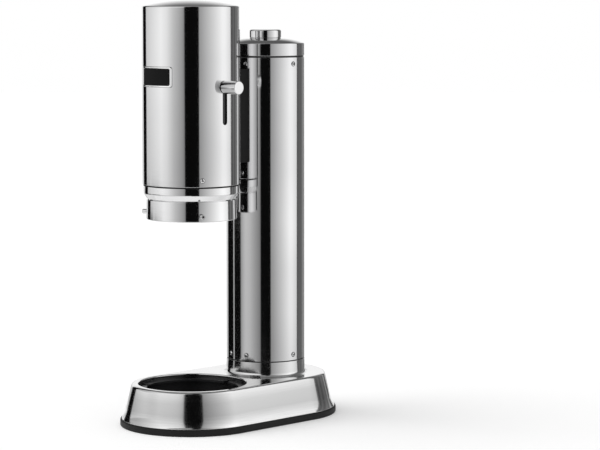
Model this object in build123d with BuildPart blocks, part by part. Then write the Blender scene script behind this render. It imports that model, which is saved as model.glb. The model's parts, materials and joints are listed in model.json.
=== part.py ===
from build123d import *
import os
from math import asin, atan, cos, degrees, pi, radians, sin, sqrt, tan

# Soda carbonator, in millimetres. +Z is up, the front faces -Y and the push bar is on +X.
# The origin is on the floor under the middle of the base.

# Clearances
FIT = 0.1  # between pieces that are fixed together
SLIDE_GAP = 0.3  # between pieces that move past each other
RUN_GAP = 0.08  # between a shaft and its bearing
THROUGH = 10.0  # how far a cut starts inside a wall and runs on outside it

# Head and shield, from the outside in
HEAD_R = 60.0
HEAD_WALL = 1.2
HEAD_RISE = 6.0
HEAD_ROUND = 3.0
SHIELD_SPACE = 6.3  # room for the slider and the cam between casing and shield
SHIELD_WALL = 1.0
RING_T = 1.5
HEAD_IN = HEAD_R - HEAD_WALL
SHIELD_R = HEAD_IN - SHIELD_SPACE
SHIELD_IN = SHIELD_R - SHIELD_WALL
RING_R = SHIELD_R + RING_T

# Well and base, from the shield outwards
LOCK_GAP = 2.6  # between the shield ring and the lock ring
LOCK_W = 10.2
LOCK_T = 2.5
LOCK_DROP = 5.7  # from the base top down to the lock ring
NOTCH_W = 8.0
NOTCH_BEYOND = 3.0
RIM_W = 8.0  # steel between the well and the edge of the base top
SIDE_IN = 9.2  # how far the side leans in
FLARE_IN = 3.8  # how far the flare at the bottom edge stands out
FLARE_H = 5.5
FLARE_ROUND = 30.0
FOOT_OUT = 1.4  # how far the rubber stands out from the steel
FOOT_H = 8.5
FOOT_W = 9.4
FOOT_ROUND = 1.6
BASE_TOP = 52.0
BASE_ROUND = 4.0
BASE_SHEET = 1.5
WELL_LIP_H = 8.5
WELL_LIP_ROUND = 1.4
CUP_WALL = 2.0
LOCK_IN = RING_R + LOCK_GAP
LOCK_R = LOCK_IN + LOCK_W
WELL_R = LOCK_R + 2 * FIT
CUP_R = WELL_R - 4 * FIT
TOP_R = WELL_R + RIM_W
SIDE_R = TOP_R + SIDE_IN
SKIRT_R = SIDE_R + FLARE_IN
FOOT_R = SKIRT_R + FOOT_OUT
SIDE_Z = FOOT_H + FLARE_H
FLARE_ANGLE = degrees(atan(FLARE_IN / FLARE_H))
SIDE_ANGLE = degrees(atan(SIDE_IN / (BASE_TOP - SIDE_Z)))
LOCK_TOP = BASE_TOP - LOCK_DROP
LOCK_BOTTOM = LOCK_TOP - LOCK_T
PLATE_LAND = 2.5  # width of rubber that the base plate stands on
PLATE_T = 3.0
PLATE_TOP = FOOT_H + PLATE_T
CUP_FLOOR = PLATE_TOP + CUP_WALL
TRAY_GAP = 1.2
TRAY_R = LOCK_IN - TRAY_GAP
TRAY_H = 13.0
TRAY_WALL = 2.0
TRAY_ROUND = 1.0
TRAY_FLOOR = CUP_FLOOR + TRAY_WALL
STAND_T = 2.5  # plate that the bottle stands on
STAND_LEG_H = 10.0
STAND_LEG_R = 3.0
DRAIN_R = 2.2
DRAIN_STEP = 12.0  # between the rings of drain holes
STAND_TOP = TRAY_FLOOR + STAND_LEG_H + STAND_T
STAND_LEG_REACH = TRAY_R - 3 * TRAY_WALL - STAND_LEG_R
DRAIN_RINGS = int((STAND_LEG_REACH - STAND_LEG_R - 2 * DRAIN_R) / DRAIN_STEP)

# Column
COLUMN_R = 49.5
COLUMN_WALL = 1.2
COLUMN_H = 381.3
NECK_H = 18.2
NECK_ROUND = 8.0
NECK_WALL = 2.0
WELL_NECK_GAP = 3.1  # flat steel between the well and the column's foot
SEAM = 0.5
SOCKET_T = 3.5
SOCKET_UP = 21.3  # how far the socket reaches up into the tube
SCREW_INSET = 8.1
NECK_TOP = BASE_TOP + NECK_H
COLUMN_BOTTOM = NECK_TOP + SEAM
COLUMN_TOP = COLUMN_BOTTOM + COLUMN_H
COLUMN_IN = COLUMN_R - COLUMN_WALL
NECK_IN = COLUMN_R - NECK_WALL
SCREW_ANGLES = (-90, -16, 16, 90)  # from the front, positive towards +X
AXIS_SPACING = WELL_R + WELL_NECK_GAP + NECK_ROUND + COLUMN_R
HEAD_Y = -AXIS_SPACING / 2
COLUMN_Y = AXIS_SPACING / 2

# Small screws
SCREW_HEAD_R = 2.7
SCREW_HEAD_H = 1.5
SCREW_HEAD_ROUND = 1.05
SCREW_R = 1.5
SCREW_IN = 3.2  # how deep a screw goes into its piece
BASE_SCREW_IN = 10.0

# Lid on the column
LID_GAP = 2.0
LID_SKIRT_H = 15.3
LID_RISE = 8.0
LID_BULGE = 1.3
LID_ROUND = 2.0
LID_LAND_R = 16.0
TOP_RING_DOWN = 11.5
TOP_RING_T = 3.8
SPIGOT_H = 10.0
SPIGOT_T = 2.5
LINER_T = 2.6
LID_BOTTOM = COLUMN_TOP + LID_GAP
LID_RIM = LID_BOTTOM + LID_SKIRT_H
LID_LAND = LID_RIM + LID_RISE
TOP_RING_IN = COLUMN_IN - FIT - TOP_RING_T
KNOB_R = 19.8
KNOB_H = 10.1
KNOB_NECK_R = 15.5
KNOB_NECK_H = 1.2
KNOB_ROUND = 3.0
LID_SCREW_R = 2.5
LID_SCREW_HEAD_R = 5.0
LID_SCREW_HEAD_H = 3.0
LID_SCREW_SHORT = 2.5  # steel left above the screw in the knob

# Gas valve in the column, hung from the top ring
BLOCK_CLEAR = 2.5
BLOCK_W = 26.0
BLOCK_T = 20.0
BLOCK_H = 33.0
BLOCK_GAP = 0.5  # between the corners of the valve block and the tube
BORE_DEPTH = 14.0
PLUNGER_TRAVEL = 2.8
PLUNGER_R = 3.0
PLUNGER_UP = 10.0
PLUNGER_IN = 6.0
VALVE_SPRING_R = 2.6
SPRING_WIRE = 0.8
PIPE_UP = 25.0
WINDOW_UP = 3.0
WINDOW_H = 26.0
WINDOW_W = 20.0
BLOCK_TOP = COLUMN_TOP - TOP_RING_DOWN - BLOCK_CLEAR
BLOCK_Z = BLOCK_TOP - BLOCK_H
BLOCK_REACH = sqrt((COLUMN_IN - BLOCK_GAP) ** 2 - (BLOCK_W / 2) ** 2)
BLOCK_Y = COLUMN_Y - BLOCK_REACH
PLUNGER_Z = BLOCK_Z + PLUNGER_UP
PIPE_Z = BLOCK_Z + PIPE_UP
WINDOW_Z = BLOCK_Z + WINDOW_UP

# Gas cylinder and its connector, hung below the valve block's hose
GAS_R = 30.0
GAS_NECK_R = 12.0
GAS_NECK_H = 7.0
GAS_SHOULDER_H = 24.0
GAS_SHOULDER_ROUND = 15.0
GAS_FOOT_ROUND = 6.0
GAS_SEAT_T = 3.5
GAS_SEAT_RIM = 4.0
GAS_SEAT_RIM_H = 8.0
GUIDE_DROP = 50.0
GUIDE_H = 8.0
GUIDE_HOLE_R = 5.0
VALVE_R = 10.5
VALVE_H = 32.0
VALVE_NUT_W = 3.0
VALVE_NUT_H = 8.0
VALVE_PIN_R = 3.0
VALVE_PIN_H = 3.0
WHEEL_R = 21.0
WHEEL_H = 22.0
WHEEL_GRIP = 10.0  # how far the wheel reaches down over the valve
WHEEL_FLUTE_R = 3.0
WHEEL_FLUTE_OUT = 1.5
HOSE_R = 3.5
HOSE_BOSS_T = 2.0
HOSE_BOSS_H = 10.0
HOSE_RISE = 20.0
HOSE_DROP = 12.0  # from the top of the valve block down to the hose
HOSE_BEND = 12.0
HOSE_Z = BLOCK_TOP - HOSE_DROP
HOSE_START = HOSE_Z - HOSE_RISE
WHEEL_TOP = HOSE_START - HOSE_BOSS_H
WHEEL_BOTTOM = WHEEL_TOP - WHEEL_H
VALVE_TOP = WHEEL_BOTTOM + WHEEL_GRIP
GAS_TOP = VALVE_TOP - VALVE_H
GAS_BOTTOM = PLATE_TOP + GAS_SEAT_T

# Head heights
HEAD_OVER = 67.0  # from the column's top edge up to the head's
HEAD_H = 221.0
HEAD_SCREW_UP = 9.0
HEAD_EDGE = COLUMN_TOP + HEAD_OVER
HEAD_BOTTOM = HEAD_EDGE - HEAD_H
HEAD_TOP = HEAD_EDGE + HEAD_RISE
HEAD_SCREW_Z = HEAD_BOTTOM + HEAD_SCREW_UP
THREE_WAYS = (-60, 60, 180)  # from the front, positive towards +X

# Nameplate
BADGE_W = 49.8
BADGE_H = 24.0
BADGE_DROP = 87.6
BADGE_OUT = 1.2
BADGE_FRAME_W = 1.3
BADGE_ROUND = 2.5
BADGE_Z = HEAD_EDGE - BADGE_DROP

# Collar, shield ring and studs
COLLAR_H = 18.2
COLLAR_LIP = 1.4
COLLAR_STEP_H = 7.2
COLLAR_UP = 18.0
COLLAR_WALL = 3.0
COLLAR_LIP_H = 4.2
COLLAR_ROUND = 4.0
BUSH_H = 6.5
RING_H = 26.2
RING_EDGE = 1.0
RING_LEDGE = 1.0
RING_FLOOR_T = 2.0
STUD_UP = 8.5
STUD_R = 3.0
STUD_NECK_R = 2.0
STUD_OUT = 9.2
STUD_NECK_OUT = 3.5
STUD_ROUND = 0.5
COLLAR_R = HEAD_IN - 2 * FIT
COLLAR_IN = COLLAR_R - COLLAR_WALL
COLLAR_BOTTOM = HEAD_BOTTOM - COLLAR_H
BUSH_Z = COLLAR_BOTTOM + COLLAR_LIP_H
RING_TOP = COLLAR_BOTTOM + COLLAR_LIP
RING_BOTTOM = RING_TOP - RING_H
STUD_Z = RING_BOTTOM + STUD_UP
SHIELD_TRAVEL = STUD_Z + STUD_R + SLIDE_GAP - LOCK_BOTTOM

# Shield top and the carrier that it hangs on
SHIELD_TOP_GAP = 5.0  # from the head's edge down to the shield
FLANGE_T = 1.5
FLANGE_W = 3.0
CARRIER_H = 10.2
CARRIER_W = 9.5
CLIP_T = 1.7
SHIELD_TOP = HEAD_EDGE - SHIELD_TOP_GAP
CARRIER_TOP = SHIELD_TOP - FLANGE_T - SLIDE_GAP
CARRIER_Z = CARRIER_TOP - CARRIER_H
CARRIER_R = SHIELD_IN - SLIDE_GAP
CARRIER_IN = SHIELD_IN - CARRIER_W
FLANGE_IN = SHIELD_IN - FLANGE_W

# Mechanism plate and rods
PLATE_INSET = 1.5
TOP_PLATE_T = 2.5
TOP_PLATE_GAP = 0.5
HANGER_R = 10.0
HANGER_GAP = 0.4
ROD_R = 2.2
ROD_NUT_R = 2.9
ROD_NUT_H = 4.5
ROD_END_GAP = 0.5
NOZZLE_ROD_X = 24.0
NOZZLE_ROD_R = 3.0
NOZZLE_ROD_END_GAP = 6.0
TOP_PLATE_R = SHIELD_IN - PLATE_INSET
TOP_PLATE_Z = SHIELD_TOP + TOP_PLATE_GAP
ROD_X = (CARRIER_IN + FLANGE_IN) / 2
ROD_NUT_TOP = CARRIER_Z - SHIELD_TRAVEL - ROD_END_GAP

# Rack and pinion: the pinion axis is parallel to X
PINION_TEETH = 18
PINION_R = 9.0
PINION_W = 7.0
TOOTH_OUT = 0.9
TOOTH_IN = 1.3
TOOTH_HALF = 0.6
PRESSURE = radians(20)
SHAFT_R = 2.0
RACK_W = 8.0
RACK_T = 3.3
SHIELD_RACK_T = 2.4
RACK_BACK_GAP = 0.8
WING_T = 2.0
WING_IN = 2.0
PITCH = 2 * pi * PINION_R / PINION_TEETH
SHIELD_RACK_LINE = SHIELD_IN - RACK_BACK_GAP - SHIELD_RACK_T - TOOTH_IN
PINION_REACH = SHIELD_RACK_LINE - PINION_R
FIXED_RACK_LINE = PINION_REACH - PINION_R

# Nozzle
CARRIAGE_DROP = 127.5
CARRIAGE_H = 16.0
CARRIAGE_X = 60.0
CARRIAGE_Y = 24.0
CHEEK_T = 4.0
CHEEK_END = 2.5
CHEEK_GAP = 0.5
CHEEK_IN = 2.0
STOPPER_H = 17.7
STOPPER_R = 17.0
STOPPER_TIP_R = 10.0
STOPPER_RIM_H = 6.0
STOPPER_RIM_W = 3.0
NOZZLE_R = 3.0
NOZZLE_BORE = 1.5
NOZZLE_LEN = 112.5
RELIEF_R = 5.0
RELIEF_LEN = 12.0
RELIEF_NUT_W = 1.5
COIL_R = 10.0
COIL_WIRE = 2.0
MANIFOLD_T = 6.0
MANIFOLD_DROP = 6.0
MANIFOLD_R = 13.0
MANIFOLD_SIDE = 1.0
CARRIAGE_Z = TOP_PLATE_Z - CARRIAGE_DROP
PINION_Z = CARRIAGE_Z + CARRIAGE_H / 2
MANIFOLD_TOP = TOP_PLATE_Z - MANIFOLD_DROP
MANIFOLD_Z = MANIFOLD_TOP - MANIFOLD_T

# Lift spring
SPRING_R = 9.5
SPRING_W = 16.0
SPRING_DROP = 2.0
SPRING_CHEEK_T = 2.0
SPRING_CHEEK_W = 11.0
SPRING_CHEEK_DOWN = 6.0
TAPE_T = 0.3
TAPE_W = 14.0
TAPE_LEN = 11.0
TAPE_GAP = 1.6
LUG_W = 16.0
LUG_H = 14.0
LUG_T = 3.4
LUG_LAP = 2.0
SPRING_PIN_R = 2.5
TAPE_REACH = CARRIER_IN - TAPE_GAP
SPRING_REACH = TAPE_REACH - SPRING_R
SPRING_Z = TOP_PLATE_Z - SPRING_R - SPRING_DROP

# Push bar
LEVER_UP = 4.1  # from the plunger up to the bar
LEVER_TRAVEL = 42.0
LEVER_R = 8.0
LEVER_END_ROUND = 0.8
LEVER_ROOT_ROUND = 0.4
LEVER_NECK_R = 3.4
LEVER_NECK_LAP = 1.0
LEVER_STAND_OFF = 0.8
LEVER_LEN = 23.7
SLOT_W = 7.5
SLOT_END_GAP = 0.3
SLIDER_GAP = 1.0  # between the slider and the casing
SLIDER_T = 3.6
SLIDER_HALF = 13.0  # degrees
SLIDER_LAP = 5.0
SLIDER_OVER = 1.0
STRAP_H = 10.0
STRAP_T = 2.0
STRAP_INSET = 0.2
STRAP_DROP = 1.0
LEVER_SPRING_R = 2.5
ANCHOR_R = 1.5
ANCHOR_DROP = 12.7
LEVER_Z = PLUNGER_Z + LEVER_UP
SLIDER_OUT = HEAD_IN - SLIDER_GAP
SLIDER_IN = SLIDER_OUT - SLIDER_T
SLOT_BOTTOM = LEVER_Z - LEVER_TRAVEL - LEVER_NECK_R - SLOT_END_GAP
SLOT_TOP = LEVER_Z + LEVER_NECK_R + SLOT_END_GAP
SLIDER_Z = SLOT_BOTTOM - SLIDER_LAP
SLIDER_TOP = SLOT_TOP + LEVER_TRAVEL + SLIDER_OVER
STRAP_IN = SLIDER_IN + STRAP_INSET
STRAP_Z = SLIDER_TOP - STRAP_H - STRAP_DROP
ANCHOR_Z = HEAD_EDGE - HEAD_ROUND - ANCHOR_DROP
LEVER_SPRING_LEN = ANCHOR_Z - ANCHOR_R - SLIDER_TOP

# Cam that the push bar drives against the plunger
CAM_W = 7.0
CAM_GAP = 0.6  # between the thick end of the cam and the casing
CAM_THIN = 1.0
CAM_DROP = 7.0
CAM_Z = PLUNGER_Z - CAM_DROP
CAM_TOP = STRAP_Z + STRAP_H
CAM_SLOPE = PLUNGER_TRAVEL / LEVER_TRAVEL
CAM_THICK = CAM_THIN + (CAM_TOP - CAM_Z) * CAM_SLOPE
CAM_IN = HEAD_IN - CAM_GAP - CAM_THICK

# Gas pipe and the bridge that carries the head
PIPE_R = 2.0
PIPE_X = -8.0
PIPE_GAP = 0.5
PIPE_HOLE_GAP = 0.8
PIPE_ABOVE = 2.0
PIPE_END = 28.0
PIPE_BEND = 4.0
PIPE_NOTCH_GAP = 1.0
BRIDGE_W = 36.0
BRIDGE_UP = 6.0  # from the collar's top up to the bridge
WINDOW_GAP = 1.0
BOLT_X = 12.0
BOLT_R = 2.5
BOLT_HEAD_R = 4.5
BOLT_HEAD_T = 3.0
BOLT_NUT_R = 3.5
BOLT_NUT_T = 1.8
BOLT_INSET = 18.0
BOLT_WINDOW_GAP = 13.0
PIPE_REACH = SHIELD_R + PIPE_R + PIPE_GAP
PIPE_TOP = TOP_PLATE_Z + PIPE_ABOVE
BRIDGE_Z = HEAD_BOTTOM + COLLAR_UP + BRIDGE_UP
BRIDGE_H = BLOCK_TOP - BRIDGE_Z
BOLT_HEIGHTS = (BRIDGE_Z + BOLT_INSET, WINDOW_Z - BOLT_WINDOW_GAP)


# Shared shapes
def stadium(radius):
    """A stadium about the head and column axes."""
    SlotCenterToCenter(AXIS_SPACING, 2 * radius, rotation=90)


def ring(axis_y, z, outer_r, inner_r, height, mode=Mode.ADD):
    """A round disc about a vertical axis, with a hole where inner_r isn't 0."""
    with BuildSketch(Plane((0, axis_y, z))) as section:
        Circle(outer_r)
        if inner_r > 0:
            Circle(inner_r, mode=Mode.SUBTRACT)
    extrude(section.sketch, amount=height, mode=mode)


def turned(axis_y, outline, mode=Mode.ADD):
    """Revolves a closed outline of radius and height about a vertical axis."""
    with BuildSketch(Plane.XZ.offset(-axis_y)) as section:
        with BuildLine():
            Polyline(*outline, close=True)
        make_face()
    revolve(section.sketch, axis=Axis((0, axis_y, 0), (0, 0, 1)), mode=mode)


def block(x, y, z, width, depth, height, mode=Mode.ADD):
    """A box that is centred on x, starts at y and stands on z."""
    with BuildSketch(Plane((x, y + depth / 2, z))) as section:
        Rectangle(width, depth)
    extrude(section.sketch, amount=height, mode=mode)


def sector(axis_y, z, outer_r, inner_r, start, sweep_deg, height, mode=Mode.ADD):
    """Part of a ring; angles are counted from +X towards +Y."""
    with BuildSketch(Plane((0, axis_y, z))) as section:
        with BuildLine():
            outer = CenterArc((0, 0), outer_r, start, sweep_deg)
            inner = CenterArc((0, 0), inner_r, start, sweep_deg)
            Line(outer @ 0, inner @ 0)
            Line(outer @ 1, inner @ 1)
        make_face()
    extrude(section.sketch, amount=height, mode=mode)


def radial_pin(axis_y, angle, z, start_r, radius, length, mode=Mode.ADD):
    """A round pin pointing outwards; the angle is from the front, towards +X."""
    out = (sin(radians(angle)), -cos(radians(angle)), 0)
    start = (start_r * out[0], axis_y + start_r * out[1], z)
    with BuildSketch(Plane(start, x_dir=(0, 0, 1), z_dir=out)) as section:
        Circle(radius)
    extrude(section.sketch, amount=length, mode=mode)


def screw_hole(axis_y, angle, z, wall_r):
    """A clearance hole for a small screw through a round wall."""
    radial_pin(axis_y, angle, z, wall_r - THROUGH, SCREW_R + FIT, 2 * THROUGH, Mode.SUBTRACT)


def along_y(x, y, z, radius, length, mode=Mode.ADD):
    """A round bar along +Y."""
    with BuildSketch(Plane((x, y, z), x_dir=(1, 0, 0), z_dir=(0, 1, 0))) as section:
        Circle(radius)
    extrude(section.sketch, amount=length, mode=mode)


def along_x(x, y, z, radius, length, mode=Mode.ADD):
    """A round bar along +X."""
    with BuildSketch(Plane((x, y, z), x_dir=(0, 1, 0), z_dir=(1, 0, 0))) as section:
        Circle(radius)
    extrude(section.sketch, amount=length, mode=mode)


def dome(axis_y, bottom, radius, edge, rise, rounding, mode=Mode.ADD):
    """A solid drum with a domed top and a rounded rim."""
    sphere_r = (radius**2 + rise**2) / (2 * rise)
    half_angle = degrees(asin(radius / sphere_r))
    with BuildSketch(Plane.XZ.offset(-axis_y)) as section:
        with BuildLine():
            top = CenterArc((0, edge + rise - sphere_r), sphere_r, 90 - half_angle, half_angle)
            Polyline(top @ 1, (0, bottom), (radius, bottom), top @ 0)
        make_face()
        fillet(section.vertices().sort_by_distance((radius, edge))[0], rounding)
    revolve(section.sketch, axis=Axis((0, axis_y, 0), (0, 0, 1)), mode=mode)


def rack(line, side, back, bottom, top, first, count, width):
    """A rack along Z behind the head axis; side +1 turns its teeth to +Y, -1 to -Y."""
    tip = TOOTH_HALF - TOOTH_OUT * tan(PRESSURE)
    root = TOOTH_HALF + TOOTH_IN * tan(PRESSURE)
    tip_y = HEAD_Y + line + side * TOOTH_OUT
    root_y = HEAD_Y + line - side * TOOTH_IN
    outline = [(back, bottom), (root_y, bottom)]
    for i in range(count):
        z = first + i * PITCH
        outline += [(root_y, z - root), (tip_y, z - tip), (tip_y, z + tip), (root_y, z + root)]
    outline += [(root_y, top), (back, top)]
    with BuildSketch(Plane.YZ.offset(-width / 2)) as section:
        with BuildLine():
            Polyline(*outline, close=True)
        make_face()
    extrude(section.sketch, amount=width)


# Base: pressed steel shell with the column neck and the well
with BuildPart() as base_shell:
    with BuildSketch(Plane.XY.offset(FOOT_H)):
        stadium(SKIRT_R)
    extrude(amount=FLARE_H, taper=FLARE_ANGLE)
    with BuildSketch(Plane.XY.offset(SIDE_Z)):
        stadium(SIDE_R)
    extrude(amount=BASE_TOP - SIDE_Z, taper=SIDE_ANGLE)
    fillet(base_shell.edges().filter_by_position(Axis.Z, SIDE_Z - 0.01, SIDE_Z + 0.01), FLARE_ROUND)
    fillet(base_shell.edges().filter_by_position(Axis.Z, BASE_TOP - 0.01, BASE_TOP + 0.01), BASE_ROUND)
    with BuildSketch(Plane.XY.offset(FOOT_H)):
        stadium(SKIRT_R - BASE_SHEET)
    extrude(amount=FLARE_H, taper=FLARE_ANGLE, mode=Mode.SUBTRACT)
    with BuildSketch(Plane.XY.offset(SIDE_Z)):
        stadium(SIDE_R - BASE_SHEET)
    extrude(amount=BASE_TOP - SIDE_Z - BASE_SHEET, taper=SIDE_ANGLE, mode=Mode.SUBTRACT)
    ring(COLUMN_Y, BASE_TOP - BASE_SHEET, COLUMN_R, 0, NECK_H + BASE_SHEET)
    neck_foot = base_shell.edges().filter_by(GeomType.CIRCLE)
    neck_foot = neck_foot.filter_by_position(Axis.Z, BASE_TOP - 0.01, BASE_TOP + 0.01)
    fillet(neck_foot.sort_by_distance((COLUMN_R, COLUMN_Y, BASE_TOP))[0], NECK_ROUND)
    ring(COLUMN_Y, BASE_TOP - 2 * BASE_SHEET, NECK_IN, 0, NECK_H + 4 * BASE_SHEET, Mode.SUBTRACT)
    ring(HEAD_Y, BASE_TOP - WELL_LIP_H, WELL_R + BASE_SHEET, 0, WELL_LIP_H - BASE_SHEET / 2)
    ring(HEAD_Y, FOOT_H, WELL_R, 0, BASE_TOP, Mode.SUBTRACT)
    well_rim = base_shell.edges().filter_by(GeomType.CIRCLE)
    well_rim = well_rim.filter_by_position(Axis.Z, BASE_TOP - 0.01, BASE_TOP + 0.01)
    fillet(well_rim.sort_by_distance((0, HEAD_Y - WELL_R, BASE_TOP))[0], WELL_LIP_ROUND)

with BuildPart() as foot_ring:
    with BuildSketch():
        stadium(FOOT_R)
        with Locations((0, 0)):
            SlotCenterToCenter(AXIS_SPACING, 2 * (FOOT_R - FOOT_W), rotation=90, mode=Mode.SUBTRACT)
    extrude(amount=FOOT_H)
    outer_edges = foot_ring.edges().filter_by_position(Axis.Z, -0.01, 0.01)
    outer_edges += foot_ring.edges().filter_by_position(Axis.Z, FOOT_H - 0.01, FOOT_H + 0.01)
    outer_edges = outer_edges.filter_by(lambda edge: edge.bounding_box().max.X > FOOT_R - 0.1
                                        or edge.bounding_box().min.X < -FOOT_R + 0.1)
    fillet(outer_edges, FOOT_ROUND)

with BuildPart() as base_plate:
    with BuildSketch(Plane.XY.offset(FOOT_H)):
        stadium(FOOT_R - FOOT_W + PLATE_LAND)
    extrude(amount=PLATE_T)
    with BuildSketch(Plane((0, COLUMN_Y, FOOT_H))):
        with PolarLocations(NECK_IN - FIT - SOCKET_T / 2, 4, start_angle=45):
            Circle(SCREW_R + FIT)
    extrude(amount=PLATE_T, mode=Mode.SUBTRACT)

with BuildPart() as base_screws:
    with BuildSketch(Plane((0, COLUMN_Y, FOOT_H))):
        with PolarLocations(NECK_IN - FIT - SOCKET_T / 2, 4, start_angle=45):
            Circle(SCREW_R)
    extrude(amount=PLATE_T + BASE_SCREW_IN)
    with BuildSketch(Plane((0, COLUMN_Y, FOOT_H))):
        with PolarLocations(NECK_IN - FIT - SOCKET_T / 2, 4, start_angle=45):
            Circle(SCREW_HEAD_R)
    extrude(amount=-SCREW_HEAD_H)

# Well: cup, lock ring, drip tray and bottle plate
with BuildPart() as well_cup:
    ring(HEAD_Y, PLATE_TOP, CUP_R, 0, LOCK_BOTTOM - PLATE_TOP)
    ring(HEAD_Y, CUP_FLOOR, CUP_R - CUP_WALL, 0, LOCK_BOTTOM, Mode.SUBTRACT)

with BuildPart() as lock_ring:
    ring(HEAD_Y, LOCK_BOTTOM, LOCK_R, LOCK_IN, LOCK_T)
    for angle in THREE_WAYS:
        out = (sin(radians(angle)), -cos(radians(angle)), 0)
        reach = RING_R + STUD_OUT + NOTCH_BEYOND
        start = (0, HEAD_Y, (LOCK_BOTTOM + LOCK_TOP) / 2)
        with BuildSketch(Plane(start, x_dir=(0, 0, 1), z_dir=out)):
            Rectangle(2 * LOCK_T, NOTCH_W)
        extrude(amount=reach, mode=Mode.SUBTRACT)

with BuildPart() as drip_tray:
    ring(HEAD_Y, CUP_FLOOR, TRAY_R, 0, TRAY_H)
    ring(HEAD_Y, TRAY_FLOOR, TRAY_R - TRAY_WALL, 0, TRAY_H, Mode.SUBTRACT)
    fillet(drip_tray.edges().filter_by_position(Axis.Z, CUP_FLOOR - 0.01, CUP_FLOOR + 0.01), TRAY_ROUND)

with BuildPart() as bottle_plate:
    ring(HEAD_Y, STAND_TOP - STAND_T, TRAY_R - TRAY_WALL - 2 * FIT, 0, STAND_T)
    with BuildSketch(Plane((0, HEAD_Y, STAND_TOP - STAND_T))):
        for i in range(1, DRAIN_RINGS + 1):
            with PolarLocations(i * DRAIN_STEP, 6 * i):
                Circle(DRAIN_R)
    extrude(amount=STAND_T, mode=Mode.SUBTRACT)
    with BuildSketch(Plane((0, HEAD_Y, TRAY_FLOOR))):
        with PolarLocations(STAND_LEG_REACH, 3):
            Circle(STAND_LEG_R)
    extrude(amount=STAND_LEG_H + STAND_T / 2)

# Column
with BuildPart() as column_socket:
    turned(COLUMN_Y, [
        (NECK_IN - FIT - SOCKET_T, PLATE_TOP),
        (NECK_IN - FIT, PLATE_TOP),
        (NECK_IN - FIT, NECK_TOP),
        (COLUMN_IN - FIT, NECK_TOP),
        (COLUMN_IN - FIT, COLUMN_BOTTOM + SOCKET_UP),
        (NECK_IN - FIT - SOCKET_T, COLUMN_BOTTOM + SOCKET_UP),
    ])
    with BuildSketch(Plane((0, COLUMN_Y, PLATE_TOP))):
        with PolarLocations(NECK_IN - FIT - SOCKET_T / 2, 4, start_angle=45):
            Circle(SCREW_R + FIT)
    extrude(amount=BASE_SCREW_IN + 5 * FIT, mode=Mode.SUBTRACT)
    for angle in SCREW_ANGLES:
        screw_hole(COLUMN_Y, angle, NECK_TOP + SCREW_INSET, COLUMN_R)

with BuildPart() as column_tube:
    ring(COLUMN_Y, COLUMN_BOTTOM, COLUMN_R, COLUMN_IN, COLUMN_H)
    for angle in SCREW_ANGLES:
        for screw_z in (NECK_TOP + SCREW_INSET, COLUMN_TOP - SCREW_INSET):
            screw_hole(COLUMN_Y, angle, screw_z, COLUMN_R)
    block(0, COLUMN_Y - COLUMN_R - 1, WINDOW_Z, WINDOW_W, THROUGH, WINDOW_H, Mode.SUBTRACT)
    for bolt_z in BOLT_HEIGHTS:
        for bolt_x in (-BOLT_X, BOLT_X):
            along_y(bolt_x, COLUMN_Y - COLUMN_R - 1, bolt_z, BOLT_R + FIT, THROUGH, Mode.SUBTRACT)

with BuildPart() as column_top_ring:
    turned(COLUMN_Y, [
        (TOP_RING_IN, COLUMN_TOP - TOP_RING_DOWN),
        (COLUMN_IN - FIT, COLUMN_TOP - TOP_RING_DOWN),
        (COLUMN_IN - FIT, LID_BOTTOM),
        (TOP_RING_IN, LID_BOTTOM),
    ])
    for angle in SCREW_ANGLES:
        screw_hole(COLUMN_Y, angle, COLUMN_TOP - SCREW_INSET, COLUMN_R)

with BuildPart() as column_screws:
    for angle in SCREW_ANGLES:
        for screw_z in (NECK_TOP + SCREW_INSET, COLUMN_TOP - SCREW_INSET):
            radial_pin(COLUMN_Y, angle, screw_z, COLUMN_R, SCREW_HEAD_R, SCREW_HEAD_H)
            radial_pin(COLUMN_Y, angle, screw_z, COLUMN_R - SCREW_IN, SCREW_R, SCREW_IN + SCREW_HEAD_H / 2)
    rims = column_screws.edges().filter_by(GeomType.CIRCLE)
    rims = rims.filter_by(lambda edge: abs(edge.radius - SCREW_HEAD_R) < 0.01)
    rims = rims.filter_by(lambda edge: ((edge.arc_center.Y - COLUMN_Y) ** 2 + edge.arc_center.X ** 2) ** 0.5
                          > COLUMN_R + SCREW_HEAD_H / 2)
    fillet(rims, SCREW_HEAD_ROUND)

# Lid: lifts off the column
LID_MID = ((COLUMN_R + LID_LAND_R) / 2, (LID_RIM + LID_LAND) / 2 + LID_BULGE)
LID_T = COLUMN_WALL

with BuildPart() as column_lid:
    with BuildSketch(Plane.XZ.offset(-COLUMN_Y)) as lid_outline:
        with BuildLine():
            Polyline((LID_LAND_R, LID_LAND), (0, LID_LAND), (0, LID_BOTTOM), (COLUMN_R, LID_BOTTOM),
                     (COLUMN_R, LID_RIM))
            ThreePointArc((COLUMN_R, LID_RIM), LID_MID, (LID_LAND_R, LID_LAND))
        make_face()
        fillet(lid_outline.vertices().sort_by_distance((COLUMN_R, LID_RIM))[0], LID_ROUND)
    revolve(axis=Axis((0, COLUMN_Y, 0), (0, 0, 1)))
    with BuildSketch(Plane.XZ.offset(-COLUMN_Y)) as lid_hollow:
        with BuildLine():
            Polyline((LID_LAND_R, LID_LAND - LID_T), (0, LID_LAND - LID_T), (0, LID_BOTTOM),
                     (COLUMN_IN, LID_BOTTOM), (COLUMN_IN, LID_RIM - LID_T))
            ThreePointArc((COLUMN_IN, LID_RIM - LID_T), (LID_MID[0], LID_MID[1] - LID_T),
                          (LID_LAND_R, LID_LAND - LID_T))
        make_face()
    revolve(axis=Axis((0, COLUMN_Y, 0), (0, 0, 1)), mode=Mode.SUBTRACT)
    ring(COLUMN_Y, LID_RIM, LID_SCREW_R + FIT, 0, 2 * LID_RISE, Mode.SUBTRACT)

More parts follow.
